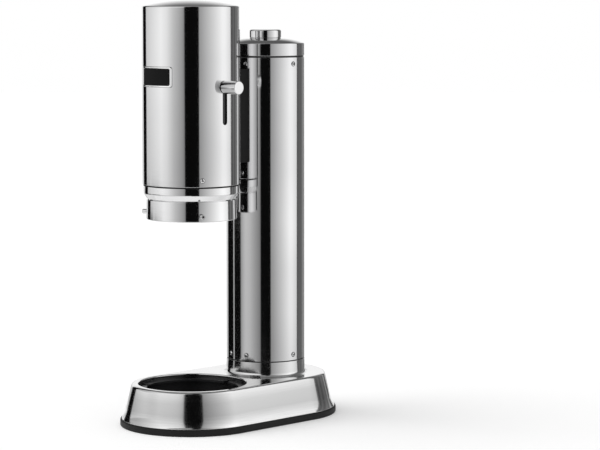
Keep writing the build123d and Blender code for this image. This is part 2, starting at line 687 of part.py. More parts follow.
with BuildPart() as lid_liner:
    turned(COLUMN_Y, [
        (TOP_RING_IN - SLIDE_GAP - SPIGOT_T, LID_BOTTOM - SPIGOT_H),
        (TOP_RING_IN - SLIDE_GAP, LID_BOTTOM - SPIGOT_H),
        (TOP_RING_IN - SLIDE_GAP, LID_BOTTOM),
        (COLUMN_IN - FIT, LID_BOTTOM),
        (COLUMN_IN - FIT, LID_BOTTOM + LINER_T),
        (TOP_RING_IN - SLIDE_GAP - SPIGOT_T, LID_BOTTOM + LINER_T),
    ])

with BuildPart() as lid_knob:
    ring(COLUMN_Y, LID_LAND + KNOB_NECK_H, KNOB_R, 0, KNOB_H)
    knob_rims = lid_knob.edges().filter_by(GeomType.CIRCLE).sort_by(Axis.Z)
    fillet(knob_rims[-1], KNOB_ROUND)
    fillet(knob_rims[0], KNOB_ROUND)
    ring(COLUMN_Y, LID_LAND, KNOB_NECK_R, 0, KNOB_NECK_H + KNOB_ROUND / 2)
    ring(COLUMN_Y, LID_LAND, LID_SCREW_R + FIT, 0, KNOB_H - 1.0, Mode.SUBTRACT)

with BuildPart() as lid_screw:
    ring(COLUMN_Y, LID_LAND - LID_T - LID_SCREW_HEAD_H, LID_SCREW_HEAD_R, 0, LID_SCREW_HEAD_H)
    ring(COLUMN_Y, LID_LAND - LID_T - 1.0, LID_SCREW_R, 0, LID_T + 1.0 + KNOB_H - LID_SCREW_SHORT)

# Gas cylinder with its connector
with BuildPart() as cylinder_seat:
    ring(COLUMN_Y, PLATE_TOP, GAS_R + GAS_SEAT_RIM, 0, GAS_SEAT_T)
    ring(COLUMN_Y, PLATE_TOP, GAS_R + GAS_SEAT_RIM, GAS_R + 2 * FIT, GAS_SEAT_T + GAS_SEAT_RIM_H)

with BuildPart() as gas_cylinder:
    turned(COLUMN_Y, [
        (0, GAS_BOTTOM),
        (GAS_R, GAS_BOTTOM),
        (GAS_R, GAS_TOP - GAS_SHOULDER_H),
        (GAS_NECK_R, GAS_TOP - GAS_NECK_H),
        (GAS_NECK_R, GAS_TOP),
        (0, GAS_TOP),
    ])
    body_edges = gas_cylinder.edges().filter_by(GeomType.CIRCLE).sort_by(Axis.Z)
    fillet(body_edges[0], GAS_FOOT_ROUND)
    shoulder_z = GAS_TOP - GAS_SHOULDER_H
    shoulder = gas_cylinder.edges().filter_by_position(Axis.Z, shoulder_z - FIT, shoulder_z + FIT)
    fillet(shoulder, GAS_SHOULDER_ROUND)

with BuildPart() as cylinder_guide:
    ring(COLUMN_Y, GAS_TOP - GUIDE_DROP, COLUMN_IN - FIT, GAS_R + 4 * FIT, GUIDE_H)
    with BuildSketch(Plane((0, COLUMN_Y, GAS_TOP - GUIDE_DROP))):
        with PolarLocations((COLUMN_IN + GAS_R) / 2, 6):
            Circle(GUIDE_HOLE_R)
    extrude(amount=GUIDE_H, mode=Mode.SUBTRACT)

with BuildPart() as cylinder_valve:
    ring(COLUMN_Y, GAS_TOP, VALVE_R, 0, VALVE_H)
    ring(COLUMN_Y, GAS_TOP, VALVE_R + VALVE_NUT_W, 0, VALVE_NUT_H)
    ring(COLUMN_Y, VALVE_TOP - VALVE_PIN_H, VALVE_R, VALVE_PIN_R, VALVE_PIN_H, Mode.SUBTRACT)

with BuildPart() as hand_wheel:
    ring(COLUMN_Y, WHEEL_BOTTOM, WHEEL_R, 0, WHEEL_H)
    with BuildSketch(Plane((0, COLUMN_Y, WHEEL_BOTTOM))):
        with PolarLocations(WHEEL_R + WHEEL_FLUTE_OUT, 12):
            Circle(WHEEL_FLUTE_R)
    extrude(amount=WHEEL_H, mode=Mode.SUBTRACT)
    ring(COLUMN_Y, WHEEL_BOTTOM, VALVE_R + FIT, 0, VALVE_TOP - WHEEL_BOTTOM + FIT, Mode.SUBTRACT)
    ring(COLUMN_Y, WHEEL_TOP, HOSE_R + HOSE_BOSS_T, 0, HOSE_BOSS_H)

with BuildPart() as gas_hose:
    with BuildLine() as hose_path:
        FilletPolyline(
            (0, COLUMN_Y, HOSE_START),
            (0, COLUMN_Y, HOSE_Z),
            (0, COLUMN_Y - BLOCK_REACH + BLOCK_T, HOSE_Z),
            radius=HOSE_BEND,
        )
    with BuildSketch(Plane((0, COLUMN_Y, HOSE_START))):
        Circle(HOSE_R)
    sweep(path=hose_path.line)

# Bridge between head and column
with BuildPart() as bridge:
    bridge_len = AXIS_SPACING - HEAD_R - COLUMN_R + 2 * THROUGH
    block(0, HEAD_Y + HEAD_R - THROUGH, BRIDGE_Z, BRIDGE_W, bridge_len, BRIDGE_H)
    ring(HEAD_Y, BRIDGE_Z - 1, HEAD_R + FIT, 0, BRIDGE_H + 2, Mode.SUBTRACT)
    ring(COLUMN_Y, BRIDGE_Z - 1, COLUMN_R + FIT, 0, BRIDGE_H + 2, Mode.SUBTRACT)
    block(0, HEAD_Y, WINDOW_Z, WINDOW_W + 2 * WINDOW_GAP, AXIS_SPACING, WINDOW_H, Mode.SUBTRACT)
    for bolt_z in BOLT_HEIGHTS:
        for bolt_x in (-BOLT_X, BOLT_X):
            along_y(bolt_x, HEAD_Y, bolt_z, BOLT_R + FIT, AXIS_SPACING, Mode.SUBTRACT)

with BuildPart() as bridge_bolts:
    nut_y = HEAD_Y + sqrt(HEAD_IN**2 - (BOLT_X + BOLT_NUT_R) ** 2) - FIT - BOLT_NUT_T
    head_y = COLUMN_Y - sqrt(COLUMN_IN**2 - (BOLT_X + BOLT_HEAD_R) ** 2) + FIT
    for bolt_z in BOLT_HEIGHTS:
        for bolt_x in (-BOLT_X, BOLT_X):
            along_y(bolt_x, nut_y, bolt_z, BOLT_R, head_y + BOLT_HEAD_T - nut_y)
            along_y(bolt_x, nut_y, bolt_z, BOLT_NUT_R, BOLT_NUT_T)
            along_y(bolt_x, head_y, bolt_z, BOLT_HEAD_R, BOLT_HEAD_T)

# Gas valve
PLUNGER_TIP = HEAD_Y + CAM_IN + CAM_THIN + (PLUNGER_Z + PLUNGER_R - CAM_Z) * CAM_SLOPE + SLIDE_GAP

with BuildPart() as valve_block:
    block(0, BLOCK_Y, BLOCK_Z, BLOCK_W, BLOCK_T, BLOCK_H)
    along_y(0, BLOCK_Y, PLUNGER_Z, PLUNGER_R + SLIDE_GAP, BORE_DEPTH, Mode.SUBTRACT)

with BuildPart() as valve_plunger:
    along_y(0, PLUNGER_TIP, PLUNGER_Z, PLUNGER_R, BLOCK_Y + PLUNGER_IN - PLUNGER_TIP)

with BuildPart() as valve_spring:
    spring_len = BORE_DEPTH - PLUNGER_IN
    along_y(0, BLOCK_Y + PLUNGER_IN, PLUNGER_Z, VALVE_SPRING_R, spring_len)
    along_y(0, BLOCK_Y + PLUNGER_IN, PLUNGER_Z, VALVE_SPRING_R - SPRING_WIRE, spring_len, Mode.SUBTRACT)

with BuildPart() as gas_pipe:
    with BuildLine() as pipe_path:
        FilletPolyline(
            (PIPE_X, BLOCK_Y, PIPE_Z),
            (PIPE_X, HEAD_Y + PIPE_REACH, PIPE_Z),
            (PIPE_X, HEAD_Y + PIPE_REACH, PIPE_TOP),
            (PIPE_X, HEAD_Y + PIPE_END, PIPE_TOP),
            (PIPE_X, HEAD_Y + PIPE_END, MANIFOLD_TOP),
            radius=PIPE_BEND,
        )
    with BuildSketch(Plane((PIPE_X, BLOCK_Y, PIPE_Z), x_dir=(1, 0, 0), z_dir=(0, -1, 0))):
        Circle(PIPE_R)
    sweep(path=pipe_path.line)

# Head casing, collar and nameplate
with BuildPart() as head_casing:
    dome(HEAD_Y, HEAD_BOTTOM, HEAD_R, HEAD_EDGE, HEAD_RISE, HEAD_ROUND)
    inner_edge = HEAD_EDGE - HEAD_WALL
    inner_round = HEAD_ROUND - HEAD_WALL
    dome(HEAD_Y, HEAD_BOTTOM, HEAD_IN, inner_edge, HEAD_RISE, inner_round, Mode.SUBTRACT)
    slot_mid = (SLOT_BOTTOM + SLOT_TOP) / 2
    with BuildSketch(Plane((HEAD_R - THROUGH, HEAD_Y, slot_mid), x_dir=(0, 1, 0), z_dir=(1, 0, 0))):
        RectangleRounded(SLOT_W, SLOT_TOP - SLOT_BOTTOM, SLOT_W / 2 - FIT / 2)
    extrude(amount=2 * THROUGH, mode=Mode.SUBTRACT)
    wall_y = HEAD_Y + HEAD_R - THROUGH
    along_y(0, wall_y, PLUNGER_Z, PLUNGER_R + 2 * SLIDE_GAP, 2 * THROUGH, Mode.SUBTRACT)
    along_y(PIPE_X, wall_y, PIPE_Z, PIPE_R + PIPE_HOLE_GAP, 2 * THROUGH, Mode.SUBTRACT)
    for angle in THREE_WAYS:
        screw_hole(HEAD_Y, angle, HEAD_SCREW_Z, HEAD_R)
    for bolt_z in BOLT_HEIGHTS:
        for bolt_x in (-BOLT_X, BOLT_X):
            along_y(bolt_x, wall_y, bolt_z, BOLT_R + FIT, 2 * THROUGH, Mode.SUBTRACT)

with BuildPart() as head_collar:
    with BuildSketch(Plane.XZ.offset(-HEAD_Y)) as collar_outline:
        with BuildLine():
            Polyline(
                (RING_R + SLIDE_GAP, COLLAR_BOTTOM),
                (COLLAR_R, COLLAR_BOTTOM + COLLAR_STEP_H),
                (COLLAR_R, HEAD_BOTTOM + COLLAR_UP),
                (COLLAR_IN, HEAD_BOTTOM + COLLAR_UP),
                (COLLAR_IN, BUSH_Z),
                (RING_R + SLIDE_GAP, BUSH_Z),
                close=True,
            )
        make_face()
        step = collar_outline.vertices().sort_by_distance((COLLAR_R, COLLAR_BOTTOM + COLLAR_STEP_H))[0]
        fillet(step, COLLAR_ROUND)
    revolve(axis=Axis((0, HEAD_Y, 0), (0, 0, 1)))
    for angle in THREE_WAYS:
        screw_hole(HEAD_Y, angle, HEAD_SCREW_Z, HEAD_R)

with BuildPart() as collar_bush:
    ring(HEAD_Y, BUSH_Z, COLLAR_IN - FIT, SHIELD_R + SLIDE_GAP, BUSH_H)

with BuildPart() as head_screws:
    for angle in THREE_WAYS:
        radial_pin(HEAD_Y, angle, HEAD_SCREW_Z, HEAD_R, SCREW_HEAD_R, SCREW_HEAD_H)
        radial_pin(HEAD_Y, angle, HEAD_SCREW_Z, HEAD_R - SCREW_IN, SCREW_R, SCREW_IN + SCREW_HEAD_H / 2)
    rims = head_screws.edges().filter_by(GeomType.CIRCLE)
    rims = rims.filter_by(lambda edge: abs(edge.radius - SCREW_HEAD_R) < 0.01)
    rims = rims.filter_by(lambda edge: ((edge.arc_center.Y - HEAD_Y) ** 2 + edge.arc_center.X ** 2) ** 0.5
                          > HEAD_R + SCREW_HEAD_H / 2)
    fillet(rims, SCREW_HEAD_ROUND)

BADGE_PLANE = Plane((0, HEAD_Y, BADGE_Z), x_dir=(1, 0, 0), z_dir=(0, -1, 0))

with BuildPart() as badge_frame:
    ring(HEAD_Y, BADGE_Z - BADGE_H, HEAD_R + BADGE_OUT, HEAD_R, 2 * BADGE_H)
    with BuildSketch(BADGE_PLANE):
        RectangleRounded(BADGE_W, BADGE_H, BADGE_ROUND)
        RectangleRounded(BADGE_W - 2 * BADGE_FRAME_W, BADGE_H - 2 * BADGE_FRAME_W,
                         BADGE_ROUND - BADGE_FRAME_W, mode=Mode.SUBTRACT)
    extrude(amount=2 * HEAD_R, mode=Mode.INTERSECT)

with BuildPart() as badge_plate:
    ring(HEAD_Y, BADGE_Z - BADGE_H, HEAD_R + BADGE_OUT / 2, HEAD_R, 2 * BADGE_H)
    with BuildSketch(BADGE_PLANE):
        RectangleRounded(BADGE_W - 2 * BADGE_FRAME_W - FIT, BADGE_H - 2 * BADGE_FRAME_W - FIT,
                         BADGE_ROUND - BADGE_FRAME_W)
    extrude(amount=2 * HEAD_R, mode=Mode.INTERSECT)

# Mechanism plate, rods and the fixed rack
with BuildPart() as top_plate:
    ring(HEAD_Y, TOP_PLATE_Z, TOP_PLATE_R, 0, TOP_PLATE_T)
    ring(HEAD_Y, TOP_PLATE_Z, HANGER_R, 0, HEAD_TOP - HEAD_WALL - HANGER_GAP - TOP_PLATE_Z)
    notch_y = HEAD_Y + PIPE_END - PIPE_R - PIPE_NOTCH_GAP
    notch_w = 2 * (PIPE_R + PIPE_NOTCH_GAP)
    block(PIPE_X, notch_y, TOP_PLATE_Z, notch_w, TOP_PLATE_R, TOP_PLATE_T, Mode.SUBTRACT)

with BuildPart() as shield_guide_rods:
    for rod_x in (-ROD_X, ROD_X):
        with BuildSketch(Plane((rod_x, HEAD_Y, ROD_NUT_TOP))):
            Circle(ROD_R)
        extrude(amount=TOP_PLATE_Z - ROD_NUT_TOP)
        with BuildSketch(Plane((rod_x, HEAD_Y, ROD_NUT_TOP))):
            Circle(ROD_NUT_R)
        extrude(amount=-ROD_NUT_H)

NOZZLE_TRAVEL = SHIELD_TRAVEL / 2
NOZZLE_ROD_END = CARRIAGE_Z - NOZZLE_TRAVEL - NOZZLE_ROD_END_GAP

with BuildPart() as nozzle_guide_rods:
    for rod_x in (-NOZZLE_ROD_X, NOZZLE_ROD_X):
        with BuildSketch(Plane((rod_x, HEAD_Y, NOZZLE_ROD_END))):
            Circle(NOZZLE_ROD_R)
        extrude(amount=TOP_PLATE_Z - NOZZLE_ROD_END)

FIXED_TEETH_BELOW = int((NOZZLE_TRAVEL + 10.0) / PITCH)
FIXED_TEETH_FIRST = PINION_Z - (FIXED_TEETH_BELOW + 0.5) * PITCH
FIXED_RACK_Z = FIXED_TEETH_FIRST - PITCH

with BuildPart() as fixed_rack:
    back = HEAD_Y + FIXED_RACK_LINE - TOOTH_IN - RACK_T
    teeth = FIXED_TEETH_BELOW + 4
    rack(FIXED_RACK_LINE, 1, back, FIXED_RACK_Z, TOP_PLATE_Z, FIXED_TEETH_FIRST, teeth, RACK_W)

with BuildPart() as gas_manifold:
    ring(HEAD_Y, MANIFOLD_Z, MANIFOLD_R, 0, MANIFOLD_T)
    arm_w = MANIFOLD_R - RACK_W / 2 - 2 * MANIFOLD_SIDE
    arm_x = -RACK_W / 2 - MANIFOLD_SIDE - arm_w / 2
    block(arm_x, HEAD_Y, MANIFOLD_Z, arm_w, PIPE_END + 2 * PIPE_R, MANIFOLD_T)
    ring(HEAD_Y, MANIFOLD_Z, MANIFOLD_R / 2, 0, MANIFOLD_T + MANIFOLD_DROP)

# Lift spring on its bracket
SPRING_Y = HEAD_Y - SPRING_REACH

with BuildPart() as spring_bracket:
    cheek_y = SPRING_Y - SPRING_CHEEK_W / 2
    cheek_z = SPRING_Z - SPRING_CHEEK_DOWN
    for cheek_x in (-SPRING_W / 2 - SPRING_CHEEK_T, SPRING_W / 2 + SPRING_CHEEK_T):
        block(cheek_x, cheek_y, cheek_z, SPRING_CHEEK_T, SPRING_CHEEK_W, TOP_PLATE_Z - cheek_z)
    pin_x = SPRING_W / 2 + SPRING_CHEEK_T
    along_x(-pin_x, SPRING_Y, SPRING_Z, SPRING_PIN_R, 2 * pin_x)

with BuildPart() as lift_spring:
    along_x(-SPRING_W / 2, SPRING_Y, SPRING_Z, SPRING_R, SPRING_W)
    along_x(-SPRING_W / 2, SPRING_Y, SPRING_Z, SPRING_PIN_R + SLIDE_GAP, SPRING_W, Mode.SUBTRACT)

with BuildPart() as lift_tape:
    block(0, HEAD_Y - TAPE_REACH - TAPE_T, SPRING_Z - TAPE_LEN, TAPE_W, TAPE_T, TAPE_LEN)

# Shield: carrier, rack, tube, ring and studs
with BuildPart() as shield_carrier:
    ring(HEAD_Y, CARRIER_Z, CARRIER_R, CARRIER_IN, CARRIER_H)
    block(0, HEAD_Y, CARRIER_Z, RACK_W + 2 * WING_T, SHIELD_R, CARRIER_H, Mode.SUBTRACT)
    lug_z = CARRIER_Z - LUG_H
    block(0, HEAD_Y - TAPE_REACH - TAPE_T - LUG_T, lug_z, LUG_W, LUG_T, LUG_H + LUG_LAP)
    for rod_x in (-ROD_X, ROD_X):
        with BuildSketch(Plane((rod_x, HEAD_Y, CARRIER_Z))):
            Circle(ROD_R + SLIDE_GAP)
        extrude(amount=CARRIER_H, mode=Mode.SUBTRACT)

SHIELD_TEETH_ABOVE = int((CARRIER_TOP - PINION_Z) / PITCH - 1.0)
SHIELD_RACK_Z = PINION_Z - 4 * PITCH

with BuildPart() as shield_rack:
    rack_back = HEAD_Y + SHIELD_IN - RACK_BACK_GAP
    wing_y = HEAD_Y + CARRIER_IN + WING_IN
    teeth = SHIELD_TEETH_ABOVE + 3
    rack(SHIELD_RACK_LINE, -1, rack_back, SHIELD_RACK_Z, CARRIER_TOP, PINION_Z - 2.5 * PITCH, teeth, RACK_W)
    for wing_x in (-RACK_W / 2 - WING_T / 2, RACK_W / 2 + WING_T / 2):
        block(wing_x, wing_y, CARRIER_Z, WING_T, rack_back - wing_y, CARRIER_H)

with BuildPart() as shield_tube:
    ring(HEAD_Y, RING_BOTTOM + RING_FLOOR_T, SHIELD_R, SHIELD_IN, SHIELD_TOP - RING_BOTTOM - RING_FLOOR_T)
    ring(HEAD_Y, SHIELD_TOP - FLANGE_T, SHIELD_R, FLANGE_IN, FLANGE_T)
    for angle in THREE_WAYS:
        radial_pin(HEAD_Y, angle, STUD_Z, SHIELD_R - THROUGH, STUD_NECK_R + FIT, 2 * THROUGH, Mode.SUBTRACT)

with BuildPart() as retaining_clip:
    sector(HEAD_Y, CARRIER_Z - SLIDE_GAP - CLIP_T, SHIELD_IN - FIT, FLANGE_IN, 125, 290, CLIP_T)

with BuildPart() as shield_ring:
    with BuildSketch(Plane.XZ.offset(-HEAD_Y)) as ring_outline:
        with BuildLine():
            Polyline(
                (SHIELD_IN - RING_LEDGE, RING_BOTTOM),
                (RING_R, RING_BOTTOM),
                (RING_R, RING_TOP),
                (SHIELD_R + FIT, RING_TOP),
                (SHIELD_R + FIT, RING_BOTTOM + RING_FLOOR_T - FIT),
                (SHIELD_IN - RING_LEDGE, RING_BOTTOM + RING_FLOOR_T - FIT),
                close=True,
            )
        make_face()
        fillet(ring_outline.vertices().sort_by_distance((RING_R, RING_BOTTOM))[0], RING_EDGE)
    revolve(axis=Axis((0, HEAD_Y, 0), (0, 0, 1)))
    for angle in THREE_WAYS:
        radial_pin(HEAD_Y, angle, STUD_Z, SHIELD_R - THROUGH, STUD_NECK_R + FIT, 2 * THROUGH, Mode.SUBTRACT)

with BuildPart() as shield_studs:
    for angle in THREE_WAYS:
        radial_pin(HEAD_Y, angle, STUD_Z, SHIELD_IN, STUD_NECK_R, RING_R + STUD_OUT - SHIELD_IN)
        radial_pin(HEAD_Y, angle, STUD_Z, RING_R + STUD_NECK_OUT, STUD_R, STUD_OUT - STUD_NECK_OUT)
    stud_rims = shield_studs.edges().filter_by(GeomType.CIRCLE)
    stud_rims = stud_rims.filter_by(lambda edge: abs(edge.radius - STUD_R) < 0.01)
    fillet(stud_rims, STUD_ROUND)

# Nozzle: carriage, tube, stopper, relief valve and hose
with BuildPart() as nozzle_carriage:
    block(0, HEAD_Y - CARRIAGE_Y / 2, CARRIAGE_Z, CARRIAGE_X, CARRIAGE_Y, CARRIAGE_H)
    cheek_mid = RACK_W / 2 + CHEEK_GAP + CHEEK_T / 2
    cheek_z = CARRIAGE_Z + CHEEK_IN
    for cheek_x in (-cheek_mid, cheek_mid):
        block(cheek_x, HEAD_Y, cheek_z, CHEEK_T, PINION_REACH + CHEEK_END, CARRIAGE_H - 2 * CHEEK_IN)
    along_x(-CARRIAGE_X / 2, HEAD_Y + PINION_REACH, PINION_Z, SHAFT_R + RUN_GAP, CARRIAGE_X, Mode.SUBTRACT)
    for rod_x in (-NOZZLE_ROD_X, NOZZLE_ROD_X):
        with BuildSketch(Plane((rod_x, HEAD_Y, CARRIAGE_Z))):
            Circle(NOZZLE_ROD_R + SLIDE_GAP)
        extrude(amount=CARRIAGE_H, mode=Mode.SUBTRACT)

with BuildPart() as nozzle_tube:
    ring(HEAD_Y, CARRIAGE_Z - NOZZLE_LEN, NOZZLE_R, NOZZLE_BORE, NOZZLE_LEN)

with BuildPart() as bottle_stopper:
    turned(HEAD_Y, [
        (NOZZLE_R + FIT, CARRIAGE_Z - STOPPER_H),
        (STOPPER_TIP_R, CARRIAGE_Z - STOPPER_H),
        (STOPPER_R - STOPPER_RIM_W, CARRIAGE_Z - STOPPER_RIM_H),
        (STOPPER_R, CARRIAGE_Z - STOPPER_RIM_H),
        (STOPPER_R, CARRIAGE_Z),
        (NOZZLE_R + FIT, CARRIAGE_Z),
    ])

with BuildPart() as relief_valve:
    along_y(0, HEAD_Y - CARRIAGE_Y / 2 - RELIEF_LEN, PINION_Z, RELIEF_R, RELIEF_LEN)
    along_y(0, HEAD_Y - CARRIAGE_Y / 2 - RELIEF_LEN / 3, PINION_Z, RELIEF_R + RELIEF_NUT_W, RELIEF_LEN / 3)

with BuildPart() as gas_coil:
    coil_z = CARRIAGE_Z + CARRIAGE_H
    ring(HEAD_Y, coil_z, COIL_R + COIL_WIRE, COIL_R - COIL_WIRE, MANIFOLD_Z - coil_z)

with BuildPart() as pinion:
    pinion_face = (-PINION_W / 2, HEAD_Y + PINION_REACH, PINION_Z)
    with BuildSketch(Plane(pinion_face, x_dir=(0, 1, 0), z_dir=(1, 0, 0))):
        tip_half = (TOOTH_HALF - TOOTH_OUT * tan(PRESSURE)) / (PINION_R + TOOTH_OUT)
        root_half = (TOOTH_HALF + TOOTH_IN * tan(PRESSURE)) / (PINION_R - TOOTH_IN)
        outline = []
        for tooth in range(PINION_TEETH):
            middle = 2 * pi * tooth / PINION_TEETH
            for radius, turn in (
                (PINION_R - TOOTH_IN, -root_half),
                (PINION_R + TOOTH_OUT, -tip_half),
                (PINION_R + TOOTH_OUT, tip_half),
                (PINION_R - TOOTH_IN, root_half),
            ):
                outline.append((radius * cos(middle + turn), radius * sin(middle + turn)))
        with BuildLine():
            Polyline(*outline, close=True)
        make_face()
    extrude(amount=PINION_W)
    shaft_len = RACK_W + 2 * CHEEK_T
    along_x(-shaft_len / 2, HEAD_Y + PINION_REACH, PINION_Z, SHAFT_R, shaft_len)

# Push bar: handle, slider, cam and return spring
with BuildPart() as lever_handle:
    along_x(HEAD_R + LEVER_STAND_OFF, HEAD_Y, LEVER_Z, LEVER_R, LEVER_LEN)
    handle_rims = lever_handle.edges().filter_by(GeomType.CIRCLE).sort_by(Axis.X)
    fillet(handle_rims[-1], LEVER_END_ROUND)
    fillet(handle_rims[0], LEVER_ROOT_ROUND)
    neck_len = HEAD_R + LEVER_STAND_OFF - SLIDER_OUT + LEVER_NECK_LAP
    along_x(SLIDER_OUT, HEAD_Y, LEVER_Z, LEVER_NECK_R, neck_len)

with BuildPart() as lever_slider:
    sector(HEAD_Y, SLIDER_Z, SLIDER_OUT, SLIDER_IN, -SLIDER_HALF, 2 * SLIDER_HALF, SLIDER_TOP - SLIDER_Z)

with BuildPart() as lever_cam:
    sector(HEAD_Y, STRAP_Z, STRAP_IN + STRAP_T, STRAP_IN, SLIDER_HALF, 90 - SLIDER_HALF, STRAP_H)
    with BuildSketch(Plane.YZ.offset(-CAM_W / 2)):
        with BuildLine():
            Polyline(
                (HEAD_Y + CAM_IN, CAM_Z),
                (HEAD_Y + CAM_IN + CAM_THIN, CAM_Z),
                (HEAD_Y + CAM_IN + CAM_THICK, CAM_TOP),
                (HEAD_Y + CAM_IN, CAM_TOP),
                close=True,
            )
        make_face()
    extrude(amount=CAM_W)

LEVER_SPRING_X = (SLIDER_IN + SLIDER_OUT) / 2

with BuildPart() as lever_spring:
    with BuildSketch(Plane((LEVER_SPRING_X, HEAD_Y, SLIDER_TOP))):
        Circle(LEVER_SPRING_R)
        Circle(LEVER_SPRING_R - SPRING_WIRE, mode=Mode.SUBTRACT)
    extrude(amount=LEVER_SPRING_LEN)

with BuildPart() as spring_anchor:
    anchor_x = LEVER_SPRING_X - LEVER_SPRING_R
    along_x(anchor_x, HEAD_Y, ANCHOR_Z, ANCHOR_R, HEAD_IN - FIT - anchor_x)

PIECES = {
    "base_shell": base_shell,
    "foot_ring": foot_ring,
    "base_plate": base_plate,
    "base_screws": base_screws,
    "well_cup": well_cup,
    "lock_ring": lock_ring,
    "drip_tray": drip_tray,
    "bottle_plate": bottle_plate,
    "column_socket": column_socket,
    "column_tube": column_tube,
    "column_top_ring": column_top_ring,
    "column_screws": column_screws,
    "column_lid": column_lid,
    "lid_liner": lid_liner,
    "lid_knob": lid_knob,
    "lid_screw": lid_screw,
    "cylinder_seat": cylinder_seat,
    "gas_cylinder": gas_cylinder,
    "cylinder_guide": cylinder_guide,
    "cylinder_valve": cylinder_valve,
    "hand_wheel": hand_wheel,
    "gas_hose": gas_hose,
    "bridge": bridge,
    "bridge_bolts": bridge_bolts,
    "valve_block": valve_block,
    "valve_plunger": valve_plunger,
    "valve_spring": valve_spring,
    "gas_pipe": gas_pipe,
    "head_casing": head_casing,
    "head_collar": head_collar,
    "collar_bush": collar_bush,
    "head_screws": head_screws,
    "badge_frame": badge_frame,
    "badge_plate": badge_plate,
    "top_plate": top_plate,
    "shield_guide_rods": shield_guide_rods,
    "nozzle_guide_rods": nozzle_guide_rods,
    "fixed_rack": fixed_rack,
    "gas_manifold": gas_manifold,
    "spring_bracket": spring_bracket,
    "lift_spring": lift_spring,
    "lift_tape": lift_tape,
    "shield_carrier": shield_carrier,
    "shield_rack": shield_rack,
    "shield_tube": shield_tube,
    "retaining_clip": retaining_clip,
    "shield_ring": shield_ring,
    "shield_studs": shield_studs,
    "nozzle_carriage": nozzle_carriage,
    "nozzle_tube": nozzle_tube,
    "bottle_stopper": bottle_stopper,
    "relief_valve": relief_valve,
    "gas_coil": gas_coil,
    "pinion": pinion,
    "lever_handle": lever_handle,
    "lever_slider": lever_slider,
    "lever_cam": lever_cam,
    "lever_spring": lever_spring,
    "spring_anchor": spring_anchor,
}

os.makedirs("parts", exist_ok=True)
for name, piece in PIECES.items():
    piece.part.label = name
    export_step(piece.part, f"parts/{name}.step")
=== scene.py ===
import json
from math import asin, atan2, ceil, cos, degrees, hypot, pi, radians, sin, sqrt, tan

import bpy
from mathutils import Matrix, Vector
from mathutils.geometry import tessellate_polygon


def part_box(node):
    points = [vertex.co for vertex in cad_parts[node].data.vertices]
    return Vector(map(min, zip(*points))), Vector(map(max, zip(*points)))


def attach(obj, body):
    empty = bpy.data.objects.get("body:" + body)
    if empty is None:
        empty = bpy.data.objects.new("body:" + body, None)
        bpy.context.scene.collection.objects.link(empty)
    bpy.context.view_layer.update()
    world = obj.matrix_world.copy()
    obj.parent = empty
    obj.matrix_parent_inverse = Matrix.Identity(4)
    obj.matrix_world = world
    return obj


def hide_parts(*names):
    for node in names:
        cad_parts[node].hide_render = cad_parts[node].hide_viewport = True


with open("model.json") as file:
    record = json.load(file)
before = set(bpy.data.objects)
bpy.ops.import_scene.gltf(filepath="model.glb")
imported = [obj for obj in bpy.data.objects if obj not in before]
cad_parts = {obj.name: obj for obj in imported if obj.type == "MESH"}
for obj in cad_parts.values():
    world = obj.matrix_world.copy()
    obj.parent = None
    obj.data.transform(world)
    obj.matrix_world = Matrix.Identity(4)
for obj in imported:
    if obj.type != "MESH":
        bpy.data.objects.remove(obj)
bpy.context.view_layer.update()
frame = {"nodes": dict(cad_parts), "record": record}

# Sizes that several pieces share, in millimetres
MM = 0.001
HEAD_Y = -63.8
HEAD_R = 60.0
COLUMN_Y = 63.8
COLUMN_R = 49.5
COLUMN_IN = 48.3
FOOT_H = 8.5
BASE_TOP = 52.0
LEVER_Z = 419.1

# Mesh building: every point has its exact normal, so that the steel mirrors cleanly
SAME_NORMAL = 0.9998  # cosine above which two normals count as one
SHARED = 1e4  # points that agree to 1 / SHARED mm are one point
NO_LENGTH = 1e-6


